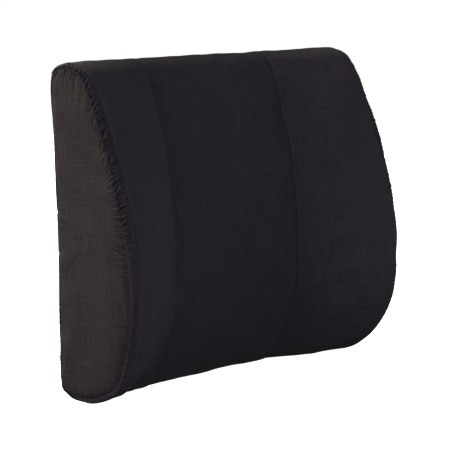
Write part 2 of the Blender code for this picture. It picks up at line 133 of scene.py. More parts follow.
def make_lights():
    """Lamps aimed at the cushion's middle."""
    for name, (place, width, power, colour) in LAMPS.items():
        data = bpy.data.lights.new(name, "AREA")
        data.shape = "DISK"
        data.size, data.energy, data.color = width, power, colour
        light = bpy.data.objects.new(name, data)
        light.location = place
        aim = Vector((0, 0, HEIGHT / 2)) - light.location
        light.rotation_euler = aim.to_track_quat("-Z", "Y").to_euler()
        light.visible_camera = False
        bpy.context.scene.collection.objects.link(light)
    bpy.context.scene.view_settings.view_transform = "Standard"


def make_sky():
    """A white backdrop to the camera, which throws hardly any light: the lamps do that."""
    world = bpy.data.worlds.new("studio")
    world.use_nodes = True
    tree = world.node_tree
    seen = add_node(tree, "LightPath").outputs["Is Camera Ray"]
    glow = math_node(tree, "MULTIPLY_ADD", seen, BACKDROP_GLOW - SKY_GLOW, SKY_GLOW)
    sky = tree.nodes["Background"]
    sky.inputs["Color"].default_value = (1, 1, 1, 1)
    tree.links.new(glow, sky.inputs["Strength"])
    bpy.context.scene.world = world


def make_floor():
    bpy.ops.mesh.primitive_plane_add(size=FLOOR_SIZE, location=(0, 0, 0))
    floor = bpy.context.object
    floor.name = "studio_floor"
    _, shader, material = new_material("pale_floor", (0.90, 0.90, 0.90), 0.9, 0.0)
    shader.inputs["Emission Color"].default_value = (1, 1, 1, 1)
    shader.inputs["Emission Strength"].default_value = 1.0
    floor.data.materials.append(material)
    floor.visible_diffuse = floor.visible_glossy = False


# --- Materials ---


def new_material(name, colour, roughness, specular=0.5):
    made = bpy.data.materials.new(name)
    made.use_nodes = True
    shader = made.node_tree.nodes["Principled BSDF"]
    shader.inputs["Base Color"].default_value = (*colour, 1)
    shader.inputs["Roughness"].default_value = roughness
    shader.inputs["Specular IOR Level"].default_value = specular
    return made.node_tree, shader, made


def add_node(tree, kind, **settings):
    made = tree.nodes.new("ShaderNode" + kind)
    for key, value in settings.items():
        if key in made.inputs:
            made.inputs[key].default_value = value
        else:
            setattr(made, key, value)
    return made


def math_node(tree, operation, *values):
    """The result of an operation on values, each a number or another node's output."""
    made = add_node(tree, "Math", operation=operation)
    for socket, value in zip(made.inputs, values):
        if isinstance(value, (int, float)):
            socket.default_value = value
        else:
            tree.links.new(value, socket)
    return made.outputs[0]


def scaled_noise(tree, source, scale, noise_scale, detail=2.0):
    """Noise over source, stretched by scale along each axis."""
    stretch = add_node(tree, "Mapping")
    stretch.inputs["Scale"].default_value = scale
    tree.links.new(source, stretch.inputs["Vector"])
    noise = add_node(tree, "TexNoise", Scale=noise_scale, Detail=detail)
    tree.links.new(stretch.outputs[0], noise.inputs["Vector"])
    return noise.outputs["Fac"]


def wave(tree, value, period):
    """0 to 1 and back over each period of value, in metres."""
    turned = math_node(tree, "MULTIPLY", value, 2 * math.pi / period)
    return math_node(tree, "MULTIPLY_ADD", math_node(tree, "SINE", turned), 0.5, 0.5)


def colour_between(tree, shader, factor, dark, light):
    ramp = add_node(tree, "ValToRGB")
    ramp.color_ramp.elements[0].color = (*dark, 1)
    ramp.color_ramp.elements[1].color = (*light, 1)
    tree.links.new(factor, ramp.inputs["Fac"])
    tree.links.new(ramp.outputs["Color"], shader.inputs["Base Color"])


def bump(tree, shader, height, distance, strength):
    made = add_node(tree, "Bump", Distance=distance, Strength=strength)
    tree.links.new(height, made.inputs["Height"])
    tree.links.new(made.outputs["Normal"], shader.inputs["Normal"])


CLOTH_MAP = "cloth"
# The pitches of the cloth's threads, the tape's ribs and their zigzag, and the elastic's knit
THREAD_PITCH, TWILL_PITCH, HERRINGBONE, KNIT_PITCH = 0.00055, 0.0009, 0.0016, 0.0008
SLUB_SCALE, SLUB_STRETCH, MOTTLE_SCALE = 1000.0, 0.035, 22.0
# Where the painted shade beside the side seams begins, and over what distance it comes on
SHADE_START, SHADE_WIDTH = 9 * MM, 6 * MM


def cloth_axes(tree):
    """The cloth's own coordinates in metres, across and along the panel."""
    place = add_node(tree, "UVMap", uv_map=CLOTH_MAP)
    apart = add_node(tree, "SeparateXYZ")
    tree.links.new(place.outputs[0], apart.inputs[0])
    return place.outputs[0], apart.outputs[0], apart.outputs[1]


def make_cloth(name, dark, light, slub_contrast=2.9, painted_seam_shade=0.0):
    """Plain-woven cotton with slubs in both directions, from its darkest to its lightest. Beside the
    side
    seams it carries painted shade: darker by up to the given share of that range, for the shadow in
    the gathers."""
    tree, shader, material = new_material(name, dark, 0.9, 0.10)
    place, across, along = cloth_axes(tree)
    warp_slub = scaled_noise(tree, place, (1, SLUB_STRETCH, 1), SLUB_SCALE)
    weft_slub = scaled_noise(tree, place, (SLUB_STRETCH, 1, 1), SLUB_SCALE)
    slub = math_node(tree, "ADD", warp_slub, weft_slub)
    mottle = scaled_noise(tree, place, (1, 1, 1), MOTTLE_SCALE, 4.0)
    tone = math_node(tree, "MULTIPLY_ADD", slub, slub_contrast, 0.25 - slub_contrast)
    mixed = math_node(tree, "MULTIPLY_ADD", mottle, 0.5, tone)
    # Painted shade: the colour darkens towards the side seams, standing in for the shadow where the
    # cloth is gathered into them
    from_middle = math_node(tree, "ABSOLUTE", across)
    before = (SHADE_START - HALF_SPAN) / SHADE_WIDTH
    painted_shade_mask = math_node(tree, "MULTIPLY_ADD", from_middle, 1 / SHADE_WIDTH, before)
    painted_shade_mask.node.use_clamp = True
    shaded = math_node(tree, "MULTIPLY_ADD", painted_shade_mask, -painted_seam_shade, mixed)
    colour_between(tree, shader, shaded, dark, light)
    warp, weft = (wave(tree, axis, THREAD_PITCH) for axis in (across, along))
    weave = math_node(tree, "MULTIPLY", warp, weft)
    bump(tree, shader, math_node(tree, "MULTIPLY_ADD", slub, 0.9, weave), 0.00022, 0.7)
    rough = math_node(tree, "MULTIPLY_ADD", slub, 0.15, 0.70)
    tree.links.new(rough, shader.inputs["Roughness"])
    shader.inputs["Sheen Weight"].default_value = 0.012
    shader.inputs["Sheen Roughness"].default_value = 0.5
    return material


def make_tape_material():
    """Herringbone-woven polyester zip tape."""
    tree, shader, material = new_material("zip_tape_weave", (0.014, 0.014, 0.016), 0.8, 0.15)
    place, across, along = cloth_axes(tree)
    zigzag = math_node(tree, "PINGPONG", along, HERRINGBONE)
    rib = wave(tree, math_node(tree, "ADD", across, zigzag), TWILL_PITCH)
    slub = scaled_noise(tree, place, (1, 0.1, 1), 900.0)
    colour_between(tree, shader, slub, (0.010, 0.010, 0.012), (0.018, 0.018, 0.020))
    bump(tree, shader, rib, 0.0002, 0.8)
    return material


def make_elastic_material():
    """Knitted elastic: fine cross threads and fuzz over its ribs."""
    tree, shader, material = new_material("elastic_knit", (0.014, 0.014, 0.015), 0.75, 0.2)
    place, across, _ = cloth_axes(tree)
    threads = wave(tree, across, KNIT_PITCH)
    fuzz = scaled_noise(tree, place, (1, 1, 1), 1500.0)
    colour_between(tree, shader, fuzz, (0.009, 0.008, 0.010), (0.020, 0.018, 0.021))
    bump(tree, shader, math_node(tree, "MULTIPLY_ADD", fuzz, 0.5, threads), 0.0002, 0.7)
    return material


# Materials whose colour follows one noise: the darkest and lightest colours, the roughness, the
# noise's scale along z, its own scale and its detail, and how deep and strong the bumps are
PLAIN = {
    "foam_cells": ((0.62, 0.55, 0.38), (0.78, 0.72, 0.54), 0.95, 1, 30, 4, 0.0004, 0.8),
    "hardboard_fibre": ((0.16, 0.085, 0.045), (0.32, 0.19, 0.10), 0.6, 0.3, 500, 5, 0.0002, 0.5),
    "zip_nylon_thread": ((0.012, 0.012, 0.014), (0.024, 0.024, 0.026), 0.38, 1, 260, 3, 0.0001, 0.3),
    "lacquered_zinc": ((0.018, 0.018, 0.020), (0.075, 0.074, 0.076), 0.32, 1, 420, 6, 0.00005, 0.5),
    "sewing_thread": ((0.014, 0.013, 0.016), (0.034, 0.032, 0.036), 0.6, 1, 2500, 2, 0.0001, 0.6),
}
PORE_SCALE, ZINC_METALLIC = 900.0, 0.85


def plain_material(name):
    """One of PLAIN. Foam's bumps are its pores, and the zinc shines more where it is dark."""
    dark, light, roughness, upright, scale, detail, deep, strong = PLAIN[name]
    tree, shader, material = new_material(name, dark, roughness)
    place = add_node(tree, "TexCoord").outputs["Object"]
    tint = height = scaled_noise(tree, place, (1, 1, upright), scale, detail)
    colour_between(tree, shader, tint, dark, light)
    if name == "foam_cells":
        pores = add_node(tree, "TexVoronoi", Scale=PORE_SCALE)
        tree.links.new(place, pores.inputs["Vector"])
        height = pores.outputs["Distance"]
    if name == "lacquered_zinc":
        shader.inputs["Metallic"].default_value = ZINC_METALLIC
        rough = math_node(tree, "MULTIPLY_ADD", tint, 0.3, 0.2)
        tree.links.new(rough, shader.inputs["Roughness"])
    bump(tree, shader, height, deep, strong)
    return material


# --- The skin's shape ---

DENSE = 16


def smooth_path(points, first, last, steps):
    """Points along a curve through points, which leaves along first and arrives along last."""
    knots = [Vector((*point, 0)) for point in points]
    directions = [after - before for before, after in zip(knots, knots[2:])]
    directions = [Vector((*first, 0)), *directions, Vector((*last, 0))]
    path = []
    for i in range(len(knots) - 1):
        third = (knots[i + 1] - knots[i]).length / 3
        leave = knots[i] + directions[i].normalized() * third
        arrive = knots[i + 1] - directions[i + 1].normalized() * third
        path += interpolate_bezier(knots[i], leave, arrive, knots[i + 1], steps + 1)[:-1]
    return np.array([point.to_2d() for point in path])


def back_corner(centre_z, start):
    turn = np.linspace(start, start - math.pi / 2, DENSE, endpoint=False)
    arc = BACK_CORNER * np.stack([np.cos(turn), np.sin(turn)], axis=1)
    return arc + (BACK_CORNER, centre_z)


def dense_outline(column):
    """(depth, z) from the back-top seam over the top, the front and the bottom to the back."""
    stations = [(station[column], station[0]) for station in FRONT_STATIONS]
    parts = [
        back_corner(HEIGHT - BACK_CORNER, math.pi),
        smooth_path([(BACK_CORNER, HEIGHT)] + stations, (1, 0), (-1, 0), DENSE),
        np.linspace(stations[-1], (BACK_CORNER, 0.0), DENSE, endpoint=False),
        back_corner(BACK_CORNER, -math.pi / 2),
        [(0.0, BACK_CORNER)],
    ]
    return np.concatenate(parts)


def unit(vectors):
    return vectors / np.linalg.norm(vectors, axis=-1, keepdims=True)


def middle_of(points):
    return (points.max(axis=0) + points.min(axis=0)) / 2


def run_length(points):
    """The distance along a line of points at each of them."""
    steps = np.linalg.norm(np.diff(points, axis=0), axis=1)
    return np.concatenate([[0], np.cumsum(steps)])


DENSE_CENTRE, DENSE_WING = dense_outline(1), dense_outline(2)
DENSE_RUN = run_length(DENSE_WING)
WRAP_LENGTH = DENSE_RUN[-1]
LOOP_LENGTH = WRAP_LENGTH + HEIGHT - 2 * BACK_CORNER
DENSE_TRAVEL = unit(np.gradient(DENSE_WING, DENSE_RUN, axis=0))


def at_rows(values, rows):
    """Values given at the dense points, read at distances along the wing's outline."""
    return np.stack([np.interp(rows, DENSE_RUN, values[:, k]) for k in (0, 1)], axis=1)


def back_roll(z):
    return ROLL_BACK + ROLL_BACK_WAIST * np.sin(math.pi * np.clip(z, 0, HEIGHT) / HEIGHT)


class Section:
    """The upright sections at some rows: the centre's, the wing's, its normal and the roll."""

    def __init__(self, centre, wing, normal):
        self.centre, self.wing, self.normal = centre, wing, normal
        forward, up = np.clip(normal, 0, 1).T ** 2
        backward, down = np.clip(-normal, 0, 1).T ** 2
        around = forward * ROLL_FRONT + up * ROLL_TOP + down * ROLL_BOTTOM
        self.radius = around + backward * back_roll(wing[:, 1])
        self.roll_x = HALF_WIDTH - self.radius * math.sin(ROLL_END)


def wrap_section(rows):
    travel = unit(at_rows(DENSE_TRAVEL, rows))
    normal = np.stack([-travel[:, 1], travel[:, 0]], axis=1)
    return Section(at_rows(DENSE_CENTRE, rows), at_rows(DENSE_WING, rows), normal)


def back_section(heights):
    flat = np.stack([0 * heights, heights], axis=1)
    return Section(flat, flat, np.stack([0 * heights - 1, 0 * heights], axis=1))


def loop_section(places):
    """The section at places round the whole side seam: along the wrap, then up the back."""
    on_wrap = places <= WRAP_LENGTH
    wrap = wrap_section(places[on_wrap])
    back = back_section(places[~on_wrap] - WRAP_LENGTH + BACK_CORNER)
    keys = ("centre", "wing", "normal")
    return Section(*(np.concatenate([getattr(s, key) for s in (wrap, back)]) for key in keys))


def wing_rise(share):
    slope = 1 / (1 - CREST_SOFTNESS / 2)
    if share < 1 - CREST_SOFTNESS:
        return slope * share
    return 1 - slope * (1 - share) ** 2 / (2 * CREST_SOFTNESS)


def skin_column(section, across):
    """One column of points; across runs over the cloth from the middle to the side seam."""
    side, reach = (1, across) if across >= 0 else (-1, -across)
    if reach <= FRONT_SEAM_X:
        x, outline = reach + 0 * section.radius, section.centre
    elif reach <= FRONT_SEAM_X + WING_SPAN:
        share = (reach - FRONT_SEAM_X) / WING_SPAN
        rise = wing_rise(share)
        x = FRONT_SEAM_X + share * (section.roll_x - FRONT_SEAM_X)
        outline = section.centre * (1 - rise) + section.wing * rise
    else:
        angle = (reach - FRONT_SEAM_X - WING_SPAN) / ROLL_FRONT
        inset = section.radius * (1 - math.cos(angle))
        x = section.roll_x + section.radius * math.sin(angle)
        outline = section.wing - section.normal * inset[:, None]
    return np.stack([side * x, BACK_Y - outline[:, 0], outline[:, 1]], axis=1)


def skin_grid(section, columns):
    return np.stack([skin_column(section, across) for across in columns], axis=1)


PROBE = 0.3 * MM


def skin_with_normals(make_section, rows, columns):
    grid = skin_grid(make_section(rows), columns)
    later, earlier = (skin_grid(make_section(rows + d), columns) for d in (PROBE, -PROBE))
    right, left = (skin_grid(make_section(rows), columns + d) for d in (PROBE, -PROBE))
    return grid, unit(np.cross(later - earlier, right - left))


# --- Meshes ---

CLOTH_THICK = 0.6 * MM


def mesh_object(name, points, faces, finish, cloth_places=None):
    mesh = bpy.data.meshes.new(name)
    mesh.from_pydata(np.asarray(points).tolist(), [], [list(map(int, face)) for face in faces])
    if cloth_places is not None:
        loops = np.empty(len(mesh.loops), np.int32)
        mesh.loops.foreach_get("vertex_index", loops)
        layer = mesh.uv_layers.new(name=CLOTH_MAP)
        layer.data.foreach_set("uv", np.asarray(cloth_places)[loops].astype(np.float32).ravel())
    mesh.materials.append(finish)
    mesh.shade_smooth()
    made = bpy.data.objects.new(name, mesh)
    bpy.context.scene.collection.objects.link(made)
    return made


def grid_quads(index):
    """Faces over a grid of point numbers."""
    corners = (index[:-1, :-1], index[1:, :-1], index[1:, 1:], index[:-1, 1:])
    return np.stack(corners, axis=-1).reshape(-1, 4)


def disc_faces(rings, count):
    """Faces over rings of count points, each inside the last, and a middle point after them."""
    index = np.arange(rings * count).reshape(rings, count)
    after = np.roll(index, -1, axis=1)
    quads = np.stack([index[:-1], after[:-1], after[1:], index[1:]], axis=-1).reshape(-1, 4)
    return [*quads, *np.stack([index[-1], after[-1], 0 * index[-1] + rings * count], axis=-1)]


def closed_cloth(name, outer, inner, faces, rim, cloth_places, finish, turn=1):
    """Cloth with an outer and an inner face of the same faces, closed round its rim. With turn
    -1 the faces turn the other way."""
    count, after = len(outer), np.roll(rim, -1)
    sides = np.stack([after, rim, rim + count, after + count], axis=1)
    faces = [*faces, *(face[::-1] + count for face in faces), *sides]
    points, places = np.concatenate([outer, inner]), np.tile(cloth_places, (2, 1))
    return mesh_object(name, points, [face[::turn] for face in faces], finish, places)


def closed_sheet(name, outer, cloth_places, finish, thick=CLOTH_THICK):
    """A closed sheet of cloth whose outer face is a grid of points."""
    normals = unit(np.cross(np.gradient(outer, axis=0), np.gradient(outer, axis=1)))
    inner = outer - normals * thick
    index = np.arange(outer[..., 0].size).reshape(outer.shape[:2])
    rim = np.concatenate([index[:, 0], index[-1, 1:], index[-2::-1, -1], index[0, -2:0:-1]])
    points = (outer.reshape(-1, 3), inner.reshape(-1, 3))
    return closed_cloth(name, *points, grid_quads(index), rim, cloth_places.reshape(-1, 2), finish)


def belongs(piece, slot, *nodes):
    """The piece moves with the cushion and stands for the nodes; slot is not used."""
    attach(piece, "cushion")
    if nodes:
        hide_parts(*nodes)


def cover_piece(piece, node, slot="cover_fabric"):
    belongs(piece, slot, node)


# --- The cover's swell, by cloth simulation ---

SETTLE_FRAMES = 18
SETTLE_ROWS, SETTLE_WING, SETTLE_CENTRE = 104, 21, 30
SETTLE_PLACES, SETTLE_RINGS = 150, 13
SWELL_CAP = 1.7 * MM
CLOTH_SETTINGS = {
    "quality": 5,
    "mass": 0.15,
    "air_damping": 4,
    "tension_stiffness": 25,
    "compression_stiffness": 25,
    "shear_stiffness": 10,
    "bending_stiffness": 0.3,
    "shrink_min": -0.006,
    "use_pressure": True,
    "uniform_pressure_force": 2.5,
    "vertex_group_mass": "pins",
}


def settle_columns():
    """Columns of the coarse cover, with one on each seam, and where each panel's run."""
    wing = np.linspace(FRONT_SEAM_X, HALF_SPAN, SETTLE_WING)
    centre = np.linspace(-FRONT_SEAM_X, FRONT_SEAM_X, SETTLE_CENTRE)
    left, right = SETTLE_WING - 1, SETTLE_WING + SETTLE_CENTRE - 2
    panels = (slice(0, left + 1), slice(left, right + 1), slice(right, None))
    return np.concatenate([-wing[::-1], centre[1:-1], wing]), panels


def coarse_side(side):
    """Rings of points over a side panel's outline, flat, and its middle point last."""
    places = np.linspace(0, LOOP_LENGTH, SETTLE_PLACES, endpoint=False)
    rim = skin_column(loop_section(places), side * HALF_SPAN)
    middle = middle_of(rim)
    shares = np.linspace(0, 1, SETTLE_RINGS, endpoint=False)
    rings = rim[None] + (middle - rim)[None] * shares[:, None, None]
    return np.concatenate([rings.reshape(-1, 3), middle[None]])


def settle_cover():
    """Swell a coarse cover with a little pressure while its seams stay where they are.

    Gives the swell of the wrap as rows by columns, and of the left and right side panels as rings
    by places, in metres.
    """
    columns, _ = settle_columns()
    rows = np.linspace(0, WRAP_LENGTH, SETTLE_ROWS)
    wrap, wrap_normals = skin_with_normals(wrap_section, rows, columns)
    shape = wrap.shape[:2]
    faces = grid_quads(np.arange(shape[0] * shape[1]).reshape(shape)).tolist()
    parts, normals = [wrap.reshape(-1, 3)], [wrap_normals.reshape(-1, 3)]
    starts = []
    for side in (-1, 1):
        starts.append(sum(map(len, parts)))
        turned = disc_faces(SETTLE_RINGS, SETTLE_PLACES)
        faces += [(face[::-side] + starts[-1]).tolist() for face in turned]
        parts.append(coarse_side(side))
        normals.append(np.tile((side, 0.0, 0.0), (len(parts[-1]), 1)))
    base, normals = np.concatenate(parts), np.concatenate(normals)
    pinned = settle_pins(wrap, columns)
    uneven = soft_field(base[:, 1] + base[:, 0], base[:, 2], *SETTLE_FIELD)
    begin = base + normals * (uneven * (1 - pinned))[:, None]
    settled = run_cloth(begin, faces, pinned)
    swell = np.sum((settled - base) * normals, axis=1)
    swell, left, right = np.split(SWELL_CAP * np.tanh(swell / SWELL_CAP), starts)
    return swell.reshape(shape), *(s[:-1].reshape(SETTLE_RINGS, -1) for s in (left, right))


def settle_pins(wrap, columns):
    """1 at each coarse point that stays in place: on a seam or on the floor."""
    seam = np.isin(np.round(np.abs(columns), 6), np.round([FRONT_SEAM_X, HALF_SPAN], 6))
    pins = np.zeros(wrap.shape[:2])
    pins[:, seam] = pins[[0, -1]] = 1
    pins[wrap[..., 2] < MM] = 1
    side = np.zeros(SETTLE_RINGS * SETTLE_PLACES + 1)
    side[:SETTLE_PLACES] = 1
    return np.concatenate([pins.ravel(), side, side])


def run_cloth(points, faces, pinned):
    """Where the points are once the cloth has settled."""
    mesh = bpy.data.meshes.new("settling")
    mesh.from_pydata(points.tolist(), [], faces)
    body = bpy.data.objects.new("settling", mesh)
    bpy.context.scene.collection.objects.link(body)
    group = body.vertex_groups.new(name="pins")
    group.add(np.flatnonzero(pinned).tolist(), 1.0, "REPLACE")
    cloth = body.modifiers.new("settle", "CLOTH")
    for key, value in CLOTH_SETTINGS.items():
        setattr(cloth.settings, key, value)
    cloth.settings.effector_weights.gravity = 0
    cloth.collision_settings.use_collision = False
    cloth.point_cache.frame_end = SETTLE_FRAMES
    scene = bpy.context.scene
    for step in range(1, SETTLE_FRAMES + 1):
        scene.frame_set(step)
    settled = body.evaluated_get(bpy.context.evaluated_depsgraph_get()).data
    found = np.empty(len(points) * 3, np.float32)
    settled.vertices.foreach_get("co", found)
    bpy.data.objects.remove(body, do_unlink=True)
    scene.frame_set(1)
    return found.reshape(-1, 3).astype(float)


def spline_weights(at, count):
    """Cubic B-spline weights that read count even samples at places from 0 to 1."""
    place = np.clip(np.asarray(at, float), 0, 1) * (count - 1)
    first = np.minimum(place.astype(int), count - 2)
    f = place - first
    blends = ((1 - f) ** 3, 3 * f**3 - 6 * f**2 + 4, -3 * f**3 + 3 * f**2 + 3 * f + 1, f**3)
    weights = np.zeros((len(place), count))
    for offset, blend in zip((-1, 0, 1, 2), blends):
        at_sample = np.clip(first + offset, 0, count - 1)
        np.add.at(weights, (np.arange(len(place)), at_sample), blend / 6)
    return weights


def read_wrap_swell(swell, rows, columns):
    """The swell at fine rows and columns of one panel, as far as the top edge lets it."""
    edges = (-HALF_SPAN, -FRONT_SEAM_X, FRONT_SEAM_X, HALF_SPAN)
    which = int(np.searchsorted(edges, columns.mean())) - 1
    low, high = edges[which], edges[which + 1]
    part = swell[:, settle_columns()[1][which]]
    along = spline_weights(rows / WRAP_LENGTH, SETTLE_ROWS)
    across = spline_weights((columns - low) / (high - low), part.shape[1])
    return along @ part @ across.T * top_hold(rows)[:, None]


def read_side_swell(swell, places, fraction):
    """The swell at places round the seam and at each ring's share of the way to the middle."""
    closed = np.concatenate([swell, swell[:, :1]], axis=1)
    by_place = closed @ spline_weights(places / LOOP_LENGTH, SETTLE_PLACES + 1).T
    by_place = np.concatenate([by_place, np.full((1, len(places)), by_place[-1].mean())])
    read = np.empty_like(fraction)
    for k in range(len(places)):
        read[:, k] = spline_weights(fraction[:, k], SETTLE_RINGS + 1) @ by_place[:, k]
    return read


# --- Relief: what the sewing does to the cloth ---

# Distances from a seam at which the cloth has a row or a column of points
NEAR_SEAM = np.array([0.0, 0.12, 0.3, 0.6, 1.0, 1.5, 2.1, 2.9, 3.8, 4.8, 5.9, 7.1, 8.5]) * MM
# The turned-in edge of a panel: how far back under the panel, and how deep
LIP_BACK, LIP_DEPTH = np.array([0.9, 0.35]) * MM, np.array([2.4, 1.1]) * MM
# How round the cloth turns down into a front or hem seam, a side seam and at the zip's tape
SEAM_ROUND, SIDE_SEAM_ROUND, FLAT_ROUND = 0.7 * MM, 1.2 * MM, 0.45 * MM
SIDE_RIM_INSET = 0.6 * MM
SEAM_SPACE = 0.05 * MM
# Edges sewn down to the zip's tape turn in less
FLAT_EDGE = 0.2
RIPPLE_WAVES, FIELD_WAVES = 7, 14


def ladder(low, high, step, lip_low=1.0, lip_high=1.0):
    """Places across a panel from seam to seam, with its lips, and how deep each lip is.

    step is the spacing between the seams, or (place, step) pairs, each step up to its place.
    """
    near = NEAR_SEAM + SEAM_SPACE
    pieces, begin = [], low + near[-1]
    for place, size in step if isinstance(step, tuple) else ((high, step),):
        stop = min(place, high - near[-1])
        count = max(3, round((stop - begin) / size))
        pieces.append(np.linspace(begin, stop, count, endpoint=False))
        begin = stop
    flat = np.concatenate([low + near[:-1], *pieces, [begin], (high - near[:-1])[::-1]])
    places = np.concatenate([low + LIP_BACK, flat, (high - LIP_BACK)[::-1]])
    depths = np.concatenate([lip_low * LIP_DEPTH, 0 * flat, lip_high * LIP_DEPTH[::-1]])
    return places, depths


def seam_drop(distance, radius):
    """How far the cloth has turned down into a seam at a distance from it."""
    inside = np.clip(1 - distance / radius, 0, 1)
    return radius * (1 - np.sqrt(1 - inside**2))


def ripple(places, wavelength, seed, spread=0.3):
    """An uneven wave of about one wavelength, and of height about 1."""
    draw = np.random.default_rng(seed)
    total = np.zeros_like(places)
    for _ in range(RIPPLE_WAVES):
        length = wavelength * draw.uniform(1 - spread, 1 + spread)
        total += np.sin(2 * math.pi * (places / length + draw.random()))
    return total / math.sqrt(RIPPLE_WAVES)


# Uneven fields over the cloth: about how high, how wide their bumps are, and the seed
WRAP_FIELD, WRAP_FINE_FIELD = (0.55 * MM, 0.085, 11), (0.16 * MM, 0.030, 12)
BACK_FIELD, SIDE_FIELD = (0.25 * MM, 0.09, 13), (0.4 * MM, 0.07)
SETTLE_FIELD = (0.3 * MM, 0.05, 81)
TAPE_FIELD, STRAP_FIELD = (0.12 * MM, 0.02, 61), (0.25 * MM, 0.06, 71)


def soft_field(across, along, height, size, seed):
    """A smooth uneven field over the cloth, of about one height and bumps of about one size."""
    draw = np.random.default_rng(seed)
    total = np.zeros(np.broadcast(across, along).shape)
    for _ in range(FIELD_WAVES):
        turn = draw.uniform(0, math.pi)
        length = size * draw.uniform(0.7, 1.6)
        phase = (across * math.cos(turn) + along * math.sin(turn)) / length
        total += np.sin(2 * math.pi * (phase + draw.random()))
    return height * (total / math.sqrt(FIELD_WAVES / 2))


def bell(values, middle, width):
    return np.exp(-(((values - middle) / width) ** 2))


def band(values, low, high, soft):
    """1 between low and high, falling to 0 over soft beyond them."""
    return np.clip((values - low) / soft + 1, 0, 1) * np.clip((high - values) / soft + 1, 0, 1)


GATHER_PITCH, GATHER_DEPTH, GATHER_REACH = 4.9 * MM, 5.0 * MM, 6.6 * MM
GATHER_LEAN, GATHER_WANDER = 0.6, 1.9 * MM
# Over what distances down the seam their line, their height and their reach vary
WANDER_WAVE, HEIGHT_WAVE, REACH_WAVE = 24 * MM, 13 * MM, 19 * MM
# How strongly the side seam is gathered everywhere, and further in bands down its front: how
# much more, from where to where, and over what distance it comes on
GATHERED, GATHER_BANDS = 0.16, ((0.84, 0.062, 0.212, 0.035), (0.25, 0.30, 0.43, 0.03))
RIGHT_GATHERED = 0.35


def gathers(places, distance, side, seed):
    """Puffs along the side seam with sharp valleys between, which stop a little way from it."""
    strength = GATHERED
    for more, *span in GATHER_BANDS:
        strength = strength + more * band(places, *span)
    if side > 0:
        strength = RIGHT_GATHERED * strength
    lean = places + GATHER_LEAN * distance + GATHER_WANDER * ripple(places, WANDER_WAVE, seed, 0.4)
    puffs = np.abs(np.sin(math.pi * lean / GATHER_PITCH)) ** 0.5 - 0.74
    uneven = 1 + 0.5 * ripple(places, HEIGHT_WAVE, seed + 2, 0.4)
    reach = GATHER_REACH * (1.0 + 0.2 * ripple(places, REACH_WAVE, seed + 1))
    near = np.exp(-((distance / np.maximum(reach, 2.5 * MM)) ** 2.6))
    near = near * np.clip(0.75 + distance / (3 * MM), 0, 1)
    return GATHER_DEPTH * puffs * uneven * near * strength


CORNER_REACH = 15 * MM
TOP_CORNER_PULL, BOTTOM_CORNER_PULL = 3.4 * MM, 3.6 * MM
# Low on the left, the foam fills the cover out in front and the wing is hollow beside it
FILL, FILL_DEPTH, FILL_HEIGHT = 9.0 * MM, 84 * MM, 26 * MM
FILL_REACH, FILL_WIDTH = 34 * MM, 24 * MM
FILL_FORWARD, FILL_DOWN = 0.8, 0.6
HOLLOW, HOLLOW_X, HOLLOW_DEPTH = 5.0 * MM, -0.135, 0.060
HOLLOW_REACH, HOLLOW_HEIGHT = 30 * MM, 25 * MM
LIFT, LIFT_REACH = 2.8 * MM, 14 * MM


def soften_corners(points):
    """Round the cover's back corners, where the foam is rounder, and shape its low left front."""
    softened = points.copy()
    for side in (-1, 1):
        for height, rise, pull in ((0.0, 0.8, BOTTOM_CORNER_PULL), (HEIGHT, -1.0, TOP_CORNER_PULL)):
            corner = np.array([side * HALF_WIDTH, BACK_Y, height])
            away = np.linalg.norm(points - corner, axis=-1, keepdims=True)
            softened += unit(np.array([-side, -1.0, rise])) * pull * bell(away, 0, CORNER_REACH)
    x, depth, z = points[..., 0], BACK_Y - points[..., 1], points[..., 2]
    from_fill = np.hypot(depth - FILL_DEPTH, z - FILL_HEIGHT)
    fill = FILL * bell(from_fill, 0, FILL_REACH) * bell(x, -HALF_WIDTH, FILL_WIDTH)
    hollow = HOLLOW * bell(x, HOLLOW_X, HOLLOW_REACH) * bell(depth, HOLLOW_DEPTH, HOLLOW_REACH)
    lift = LIFT * bell(x, -HALF_WIDTH, FILL_WIDTH) * bell(z, 0, LIFT_REACH)
    softened[..., 1] -= FILL_FORWARD * fill
    softened[..., 2] += hollow * bell(z, 0, HOLLOW_HEIGHT) + lift - FILL_DOWN * fill
    return softened


# Down the side seam: the place, how far off the crease beside the roll lies, and how deep
CREASE_PLACES = (0.03, 0.07, 0.17, 0.225, 0.27, 0.31, 0.40, 0.46)
CREASE_OFFSETS = (8.0, 8.6, 8.8, 9.2, 6.5, 4.8, 4.5, 4.5)
CREASE_DEPTHS = (0.0, 1.6, 2.0, 2.0, 1.6, 1.2, 0.6, 0.0)
CREASE_WANDER, CREASE_WAVE = 0.8 * MM, 0.031
CREASE_WIDTH, CREASE_TAIL = 1.4 * MM, 7 * MM


def seam_roll(across, rows, side):
    """The thin roll beside the side seam, which the gathers cross, and the crease behind it."""
    seam = HALF_SPAN - side * across
    offset = MM * np.interp(rows, CREASE_PLACES, CREASE_OFFSETS)
    offset = offset + CREASE_WANDER * np.sin(rows / CREASE_WAVE)
    depth = MM * np.interp(rows, CREASE_PLACES, CREASE_DEPTHS) * (1 if side < 0 else 0.6)
    beyond = np.exp(-np.clip(seam - offset, 0, None) / CREASE_TAIL) * (seam > offset)
    crease = bell(seam, offset, CREASE_WIDTH) + 0.45 * beyond
    return depth * (0.55 * bell(seam, 0.42 * offset, 0.35 * offset) - crease)


# Short wrinkles out from the front seams: the place, height, tilt and length
SEAM_WRINKLES = (
    (0.333, 1.2 * MM, 0.10, 0.018),
    (0.343, 1.8 * MM, 0.02, 0.027),
    (0.351, 1.4 * MM, -0.08, 0.022),
    (0.362, 1.6 * MM, -0.14, 0.024),
    (0.376, 1.0 * MM, 0.08, 0.016),
)
WRINKLE_WIDTH, WRINKLE_BED = 1.7 * MM, 4 * MM


